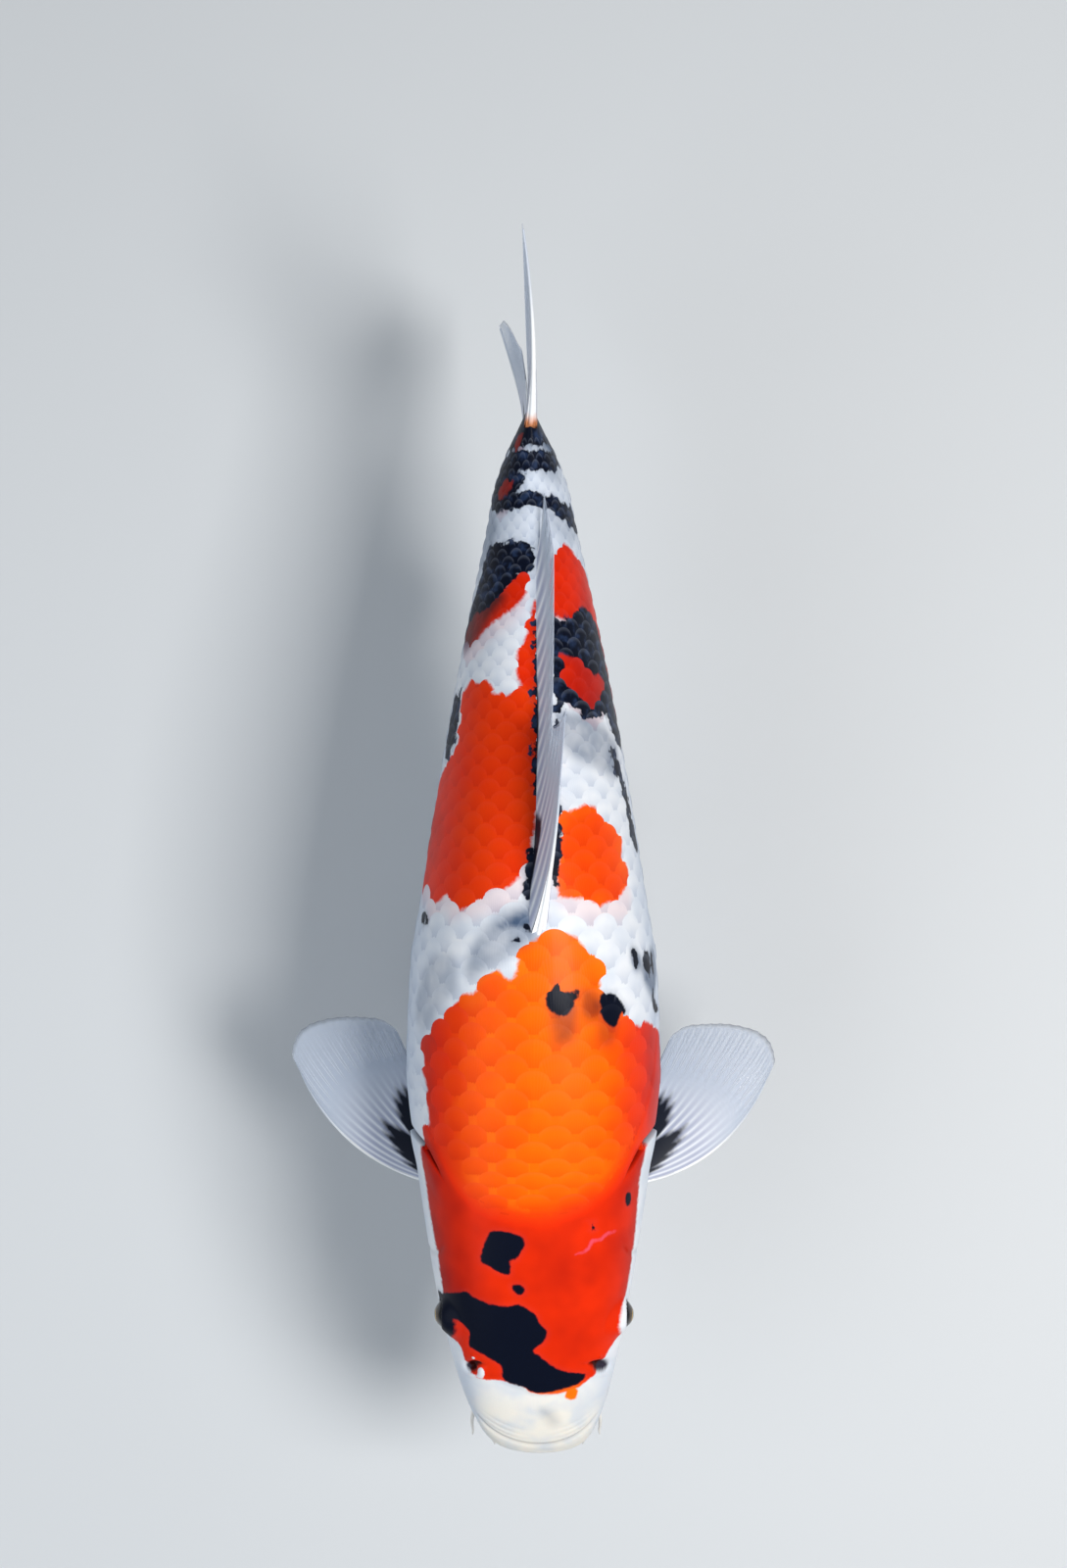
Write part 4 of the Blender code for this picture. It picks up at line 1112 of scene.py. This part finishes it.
for label, piece in eyes.items():
    piece.data.materials.append(EYE)
    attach(piece, "root")
    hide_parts("eye_" + label)
print("eyes:", len(eyes), "of", triangles(eyes["left"]), "triangles")

# %% [markdown]
# ## Fins
#
# A fin is a fan of bony rays with clear skin between them. Each ray is a curve that leaves the body towards
# one point and ends at the fin's margin, so a whole fan is three rows of points: roots, middles and tips.
# Soft rays split in two, and again in two, on their way out. The web is one thin closed sheet through all
# the curves. The rays are tubes laid in it, made by Geometry Nodes from plain lines.

# %% The fans of rays
ROOT_DEPTH = 0.004  # rays start this far inside the body


def along_body(share):
    return SNOUT_Y + share * LENGTH


def arrow(x, y, z):
    return np.stack(np.broadcast_arrays(x, y, z), -1).astype(float)


def dorsal_fan(q):
    """Half folded: the rays lie back, and the fin leans to the fish's left."""
    share = 0.515 + 0.353 * q
    tall = 0.112 - 0.016 * np.maximum(0, 1 - 6 * q) - 0.064 * np.clip((q - 0.14) / 0.22, 0, 1) ** 0.8
    length = (tall - 0.006 * np.maximum(0, q - 0.45))[:, None]
    rise = np.radians(26 + 2 * q - 16 * np.maximum(0, (q - 0.85) / 0.15))[:, None]
    lean = np.radians(17 + 9 * q)
    step_back = 0.04
    climb = through(STATIONS, 2, share + step_back, np.sqrt) - through(STATIONS, 2, share, np.sqrt)
    slope = climb * MM / (step_back * LENGTH)
    root = body_point(share, 1.5 + 4 * q, -ROOT_DEPTH)
    forward = arrow(0, 1, slope) / np.sqrt(1 + slope**2)[:, None]
    upward = arrow(np.sin(lean), 0, np.cos(lean))
    tip = root + forward * length * np.cos(rise) + upward * length * np.sin(rise)
    bow = (0.05 + 0.07 * np.maximum(0, 1 - 4 * q))[:, None]
    return root, root + forward * length * 0.44 + upward * length * (0.5 * np.sin(rise) + bow), tip


def anal_fan(q):
    length = 0.064 - 0.026 * q - 0.012 * np.maximum(0, 1 - 2.5 * q)
    fall = np.radians(52 - 22 * q)
    root = body_point(0.772 + 0.062 * q, 180, -ROOT_DEPTH)
    tip = root + arrow(-0.004 * q, np.cos(fall) * length, -np.sin(fall) * length)
    return root, (root + tip) / 2 + [0, 0.004, -0.005], tip


def pelvic_fan(side):
    def fan(q):
        root = body_point(0.492 + 0.014 * q, side * (148 + 9 * q), -ROOT_DEPTH)
        length = 0.074 - 0.022 * q * q - 0.008 * np.maximum(0, 1 - 3 * q)
        sweep = np.radians(30 - 28 * q)
        out = arrow(side * np.sin(sweep) * 0.72, np.cos(sweep), -0.42 - 0.10 * q)
        tip = root + out / np.linalg.norm(out, axis=1, keepdims=True) * length[:, None]
        return root, (root + tip) / 2 + arrow(side * 0.004 * (1 - q), 0, -0.003), tip

    return fan


# The pectoral fin's margin: place along it, out from the midline, back from the snout
PECTORAL_MARGIN = np.array([
    (0.00, 138.0, 213.0),
    (0.12, 142.0, 222.0),
    (0.26, 139.0, 233.0),
    (0.42, 128.0, 241.0),
    (0.62, 110.0, 244.0),
    (0.82, 93.0, 243.0),
    (0.94, 82.0, 237.0),
    (1.00, 77.5, 228.0),
])


def pectoral_fan(side):
    def fan(q):
        forward = 0.002 * side
        root = body_point(0.258 + 0.036 * q, side * (121 + 8 * q), -ROOT_DEPTH)
        out, behind = (through(PECTORAL_MARGIN, column, q) * MM for column in (1, 2))
        tip = arrow(side * out, SNOUT_Y + behind - forward, AXIS_HEIGHT - 0.055 + 0.006 * np.sin(np.pi * q))
        bow = (1 - q) ** 1.3
        return root, (root + tip) / 2 + arrow(side * 0.019 * bow, -0.022 * bow - 0.002 - forward, -0.006), tip

    return fan


def tail_fan(side, tip_back, tip_out, fork_back, bulge, sway, curl, set_over):
    """One lobe, from its leading edge to the fork; side is +1 for the upper lobe."""

    def fan(q):
        base = np.array([midline(1.0), along_body(1.0), AXIS_HEIGHT + 0.001])
        lead = 1 - q
        root = base + arrow(0, 0.003, side * (0.0012 + 0.0338 * lead))
        back = tip_back * lead + fork_back * q + bulge * np.sin(np.pi * q) - 0.006 * np.maximum(0, 1 - 9 * q)
        out = tip_out * lead + 0.0015 * q - 0.004 * np.sin(2 * np.pi * q)
        swing = sway * back / tip_back + curl * (out / tip_out) ** 2
        tip = base + arrow(swing, back, side * out)
        bow = 0.012 * lead
        over = 2 * set_over * lead - 0.25 * swing
        return root, (root + tip) / 2 + arrow(over, -0.55 * bow, side * 0.8 * bow), tip

    return fan


# %% The web
WEB_HALF = 0.22 * MM  # half its thickness at the margin
SCALLOP = 0.004  # how far the margin draws in between rays, as a share of the fin


def fan_surface(fan, q, f):
    """Points of the fan for places q across it and f from root to margin, of equal shape."""
    root, middle, tip = (part.reshape(*q.shape, 3) for part in fan(q.ravel()))
    f = f[..., None]
    return root * (1 - f) ** 2 + middle * 2 * f * (1 - f) + tip * f * f


def web(name, fan, rays, root_half, flare):
    """A closed thin sheet. Half its thickness at the root is root_half, and more at the front by flare."""
    q, f = np.meshgrid(np.linspace(0, 1, 6 * rays + 1), np.linspace(0, 1, 33), indexing="ij")
    scallop = np.abs(np.sin(np.pi * q * (rays - 1)))
    middle = fan_surface(fan, q, f * (1 - SCALLOP * scallop))
    normal = np.cross(np.gradient(middle, axis=0), np.gradient(middle, axis=1))
    normal = normal / np.linalg.norm(normal, axis=2, keepdims=True)
    fleshy = root_half * (1 + flare * (1 - ramp(q, 0.05, 0.32)))
    half = (WEB_HALF + (fleshy - WEB_HALF) * (1 - f) ** 2.4) * (0.75 + 0.25 * ramp(q * (1 - q), 0, 0.03))
    out = normal * half[..., None]
    grid = np.arange(q.size).reshape(q.shape)
    faces = grid_faces(*q.shape)[:, ::-1]
    rim = np.concatenate([grid[0, :-1], grid[:-1, -1], grid[-1, :0:-1], grid[:0:-1, 0]])
    after = np.roll(rim, -1)
    sides = np.stack([after, rim, rim + q.size, after + q.size], -1)
    faces = np.concatenate([faces, faces[:, ::-1] + q.size, sides])
    values = {"out": f, "across": q, "between": scallop, "ray": 0 * q}
    numbers = {key: np.append(one, one) for key, one in values.items()}
    return mesh_object(name, [middle - out, middle + out], faces, numbers)


# %% The rays
# The side a branch turns to at each split, and where it leaves its neighbour
BRANCHES = ((-1, -1, 0.0), (1, -1, 0.36), (-1, 1, 0.62), (1, 1, 0.62))
UNBRANCHED = ((0, 0, 0.0),)


def ray_lines(name, fan, rays, thick):
    """Lines along the rays, which split at two places, with the tube's radius at each point."""
    f = np.linspace(0.02, 0.975, 30)
    lines = []
    for i in range(rays):
        for first, second, start in BRANCHES if i > 1 else UNBRANCHED:
            own = f[f >= start]
            fork = 0.20 * first * ramp(own, 0.36, 0.95) + 0.11 * second * ramp(own, 0.62, 1.15)
            place = np.clip((i + fork) / (rays - 1), 0, 1)
            taper = 1.55 - 0.8 * own if i == 0 else 1.1 - 0.86 * own
            lines.append((place, own, thick * taper * (1 - 0.16 * ramp(own, 0.36, 0.7))))
    across, out, size = (np.concatenate(part) for part in zip(*lines))
    counts = [len(own) for _, own, _ in lines]
    starts = np.cumsum([0] + counts[:-1]).tolist()
    edges = [(s + k, s + k + 1) for s, n in zip(starts, counts) for k in range(n - 1)]
    numbers = {"out": out, "across": across, "size": size * MM, "between": 0 * out, "ray": 0 * out + 1}
    return mesh_object(name, fan_surface(fan, across, out), numbers=numbers, edges=edges)


# %% Tubes of the rays


def ray_tree():
    """Turns lines into round tapered tubes and joins them with the web."""
    tree, given = geometry_tree("ray tubes", Web="Object", Finish="Material")
    lines = add_node(tree, "GeometryNodeMeshToCurve", {"Mesh": given["Geometry"]}).outputs[0]
    circle = add_node(tree, "GeometryNodeCurvePrimitiveCircle", {"Resolution": 7, "Radius": 1.0}).outputs[0]
    inputs = {"Curve": lines, "Profile Curve": circle, "Scale": named(tree, "size"), "Fill Caps": True}
    tubes = add_node(tree, "GeometryNodeCurveToMesh", inputs).outputs[0]
    joined = tree.nodes.new("GeometryNodeJoinGeometry")
    smooth = add_node(tree, "GeometryNodeSetShadeSmooth", {"Geometry": tubes}).outputs[0]
    for piece in (smooth, mesh_of(tree, given["Web"])):
        tree.links.new(piece, joined.inputs[0])
    give(tree, joined.outputs[0], given["Finish"])
    return tree


RAY_TUBES = ray_tree()

# %% [markdown]
# The web of a koi's fin is milky near the body and nearly clear at the margin. The rays stay white. Many
# koi have black at the roots of the pectoral fins, where it runs out along the rays in teeth; the black is
# stored on the mesh, so each fin has its own.

# %% Fin material
FIN, tree, shader = new_material(
    "fin of web and rays", 0.45, {"Coat Weight": 0.02, "Specular IOR Level": 0.15})
milky = step(tree, drawn(tree, "out"), 0.25, 0.75)
white = blend(tree, milky, (0.86, 0.88, 0.91, 1), (0.58, 0.65, 0.77, 1))
# painted shade: the web between the rays darkened near the root
groove = times(tree, drawn(tree, "between"), step(tree, drawn(tree, "out"), 0.7, 0.35, 0.05, 0.9))
white = blend(tree, groove, white, (0.32, 0.35, 0.50, 1))
bony = times(tree, drawn(tree, "ray"), step(tree, drawn(tree, "out"), 0.9, 0.4, 0.25, 1.0))
white = blend(tree, bony, white, (0.92, 0.93, 0.94, 1))
white = blend(tree, drawn(tree, "tint"), white, (0.85, 0.24, 0.03, 1))
ragged = times_plus(tree, noise(tree, 300.0, 2.0, own_place(tree)), 0.5, -0.25)
black = step(tree, plus(tree, drawn(tree, "black"), ragged), -0.7, 0.5)
tree.links.new(blend(tree, black, white, (0.008, 0.011, 0.022, 1)), shader.inputs["Base Color"])
clear = step(tree, drawn(tree, "out"), 0.40, 1.0, 0.0, 0.65)
clear = times(tree, clear, step(tree, drawn(tree, "ray"), 0.0, 1.0, 1.0, 0.45))
clear = times(tree, clear, step(tree, black, 0.0, 1.0, 1.0, 0.0))
tree.links.new(maths(tree, "SUBTRACT", 1.0, clear), shader.inputs["Alpha"])
bump(tree, shader, bands(tree, drawn(tree, "out"), 14.0), 0.0002, 0.1)  # the joints of each ray

# %% A fin from its fan


def make_fin(node, title, fan, rays, thick, root_half, black=None, tint=None, flare=0.0):
    """Thick is about a ray's radius in millimetres; black and tint say how much of each a place has."""
    sheet = web(title + "_web", fan, rays, root_half, flare)
    made = ray_lines(title, fan, rays, thick)
    evaluated(made, RAY_TUBES, {"Web": sheet, "Finish": FIN})
    bpy.data.objects.remove(sheet)
    q, f = read_back(made.data, "across"), read_back(made.data, "out")
    store(made.data, {"black": black(q, f) if black else 0 * q - 1, "tint": tint(q, f) if tint else 0 * q})
    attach(made, "root")
    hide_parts(node)
    print(title + ":", rays, "rays,", triangles(made), "triangles")


# %% Black and orange at the roots
PECTORAL_RAYS = 17


def black_root(reach, teeth):
    """Black from the root out to reach, in teeth along the rays."""

    def amount(q, f):
        ray = q * (PECTORAL_RAYS - 1)
        tooth = teeth * np.cos(np.pi * ray) * np.cos(1.9 * ray + 1)
        return (np.interp(q, *reach) + tooth - f) * 12

    return amount


def dorsal_black(q, f):
    """Black strips low on the fin, behind its white front."""
    reach = 0.26 * hill(q - 0.22, 0.08) + 0.20 * hill(q - 0.55, 0.2) - 0.02
    return (reach - f) * 14


def tail_tint(q, f):
    return (1 - ramp(f, 0.03, 0.08)) * 0.9


def tail_black(q, f):
    """Black at the root, and further out near the lobe's edge, except on the leading rays."""
    return ((0.13 + 0.05 * np.cos(17 * q) + 0.2 * hill(q - 0.3, 0.2)) * ramp(q, 0.02, 0.1) - f) * 10


# %% Make the fins
UPPER_LOBE = tail_fan(
    1, tip_back=0.111, tip_out=0.099, fork_back=0.056, bulge=0.008, sway=-0.0045, curl=0.0, set_over=0.003)
LOWER_LOBE = tail_fan(
    -1, tip_back=0.086, tip_out=0.094, fork_back=0.052, bulge=-0.003, sway=-0.0085, curl=-0.011, set_over=0.0)
# How far out the pectoral fin is black, at places along its margin
PECTORAL_BLACK = (
    (0, 0.06, 0.12, 0.25, 0.4, 0.48, 0.56, 0.75, 1),
    (-0.1, 0.04, 0.15, 0.29, 0.36, 0.26, 0.42, 0.48, 0.56),
)
make_fin("dorsal_fin", "fin_of_the_back", dorsal_fan, 20, 0.95, 0.0030, dorsal_black, flare=0.9)
make_fin("anal_fin", "fin_behind_the_vent", anal_fan, 8, 0.8, 0.0022)
make_fin("tail_fin_upper", "upper_tail_lobe", UPPER_LOBE, 11, 1.0, 0.0038, tail_black, tail_tint)
make_fin("tail_fin_lower", "lower_tail_lobe", LOWER_LOBE, 11, 1.0, 0.0038, tail_black, tail_tint)
for label, side in (("left", 1), ("right", -1)):
    make_fin("pelvic_fin_" + label, label + "_pelvic_fin", pelvic_fan(side), 9, 0.8, 0.0024)
    make_fin(
        "pectoral_fin_" + label, label + "_pectoral_fin", pectoral_fan(side), PECTORAL_RAYS, 0.95, 0.0030,
        black_root(PECTORAL_BLACK, 0.045))

# %% [markdown]
# ## Barbels
#
# A carp feels for food with four soft barbels: a long one at each corner of the mouth and a short one on
# each side of the upper lip. They taper, leave the lip outwards and then hang forward.

# %% Barbels
BARBEL = new_material("barbel skin", 0.35, {"Coat Weight": 0.3, "Base Color": (0.84, 0.81, 0.76, 1)})[0]
BARBEL_POINTS = 18
LONG_RADIUS, SHORT_RADIUS = 0.0016, 0.0010


def barbel(name, side, root, reach, fall, radius):
    f = np.linspace(0, 1, BARBEL_POINTS)
    out = 0.0014 * np.sin(np.pi * np.minimum(1, 1.2 * f)) * radius / LONG_RADIUS
    path = root + arrow(side * (out + 0.12 * reach * f), -reach * f, -fall * f**1.2)
    size = radius * (1 - 0.66 * f) * np.sqrt(np.clip((1.02 - f) / 0.06, 0, 1))
    edges = [(i, i + 1) for i in range(BARBEL_POINTS - 1)]
    line = mesh_object(name, path, numbers={"size": size}, edges=edges)
    return evaluated(line, RAY_TUBES, {"Finish": BARBEL})


LIP_SHARE = 0.011
for label, side in (("left", 1), ("right", -1)):
    corner = np.array([side * 0.0345 + 0.0015, SNOUT_Y + 0.0245, AXIS_HEIGHT - 0.0155])
    half = through(STATIONS, 1, LIP_SHARE, np.sqrt) * MM
    out = midline(LIP_SHARE) + side * (half - 0.0010)
    above = np.array([out, along_body(LIP_SHARE) - 0.0002, AXIS_HEIGHT - 0.01575])
    long = barbel(label + "_corner_barbel", side, corner, 0.0215, 0.0230, LONG_RADIUS)
    short = barbel(label + "_lip_barbel", side, above, 0.0060, 0.0100, SHORT_RADIUS)
    for piece, node in ((long, "barbel_mouth_"), (short, "barbel_lip_")):
        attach(piece, "root")
        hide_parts(node + label)
print("barbels: 4")

# %% [markdown]
# ## Stand
#
# The base is a painted plate and the two rods are bright steel. Their solids have the right shape already,
# so they only need finishes.

# %% Finishes of the stand
PAINT, tree, shader = new_material("pale grey paint", 0.42)
grain = noise(tree, 700.0, 3.0, own_place(tree))
tree.links.new(blend(tree, grain, (0.60, 0.61, 0.63, 1), (0.66, 0.67, 0.69, 1)), shader.inputs["Base Color"])
bump(tree, shader, grain, 0.0002, 0.2)
STEEL, tree, shader = new_material("drawn steel", 0.24, {"Metallic": 1.0})
streaks = add_node(tree, "ShaderNodeMapping", {"Vector": own_place(tree), "Scale": (900, 900, 6)}).outputs[0]
streak = noise(tree, 1.0, 2.0, streaks)
tree.links.new(blend(tree, streak, (0.55, 0.56, 0.58, 1), (0.66, 0.67, 0.69, 1)), shader.inputs["Base Color"])
for node, finish in (("stand_base", PAINT), ("stand_rod_front", STEEL), ("stand_rod_rear", STEEL)):
    bpy.data.objects[node].material_slots[0].material = finish

# %% [markdown]
# ## Light and floor
#
# A soft main light stands above and to one side, and a weak bluish one fills the shadows from the other. The
# world is a plain grey that grows paler upwards. The camera looks straight down from above.

# %% Stage
bpy.context.scene.view_settings.view_transform = "Standard"
for piece in [skin] + coats:
    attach(piece, "root")
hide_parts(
    "head", "lower_jaw", "upper_lip", "gill_cover_left", "gill_cover_right", "trunk_front",
    "trunk_middle", "trunk_rear", "tail_stalk")

FLOOR_HALF = 40
corners = [(-FLOOR_HALF, -FLOOR_HALF, 0), (FLOOR_HALF, -FLOOR_HALF, 0), (FLOOR_HALF, FLOOR_HALF, 0),
           (-FLOOR_HALF, FLOOR_HALF, 0)]
floor = mesh_object("floor", corners, [(0, 1, 2, 3)])
floor.data.materials.append(new_material("pale floor", 0.6, {"Base Color": (0.62, 0.64, 0.66, 1)})[0])


# %% Lights, world and camera


def area_light(name, place, size, power, colour, target=(0, 0.03, 0.17)):
    lamp = bpy.data.lights.new(name, "AREA")
    lamp.size, lamp.energy, lamp.color = size, power, colour
    made = in_scene(name, lamp)
    made.location = place
    aim = np.array(target) - np.array(place)
    flat_length = np.hypot(aim[0], aim[1])
    made.rotation_euler = (np.arctan2(flat_length, -aim[2]), 0, np.arctan2(-aim[0], aim[1]))


area_light("key", (1.05, -0.15, 2.05), 0.8, 43, (1.0, 0.98, 0.95))
area_light("fill", (-1.4, -0.6, 1.5), 1.6, 15, (0.88, 0.94, 1.0))
world = bpy.data.worlds.new("studio")
world.use_nodes = True
tree = world.node_tree
direction = add_node(tree, "ShaderNodeTexCoord").outputs["Generated"]
above = step(tree, parts(tree, direction)[2], 0.02, 0.45)
sky = blend(tree, above, (0.51, 0.555, 0.60, 1), (0.82, 0.88, 0.94, 1))
tree.links.new(sky, tree.nodes["Background"].inputs["Color"])
tree.nodes["Background"].inputs["Strength"].default_value = 0.31
bpy.context.scene.world = world

camera = bpy.data.cameras.new("camera")
camera.sensor_fit = "VERTICAL"
camera.sensor_height = 24
camera.lens = 45.6
bpy.context.scene.camera = in_scene("camera", camera)
bpy.context.scene.camera.location = (0, 0.125, 1.876)
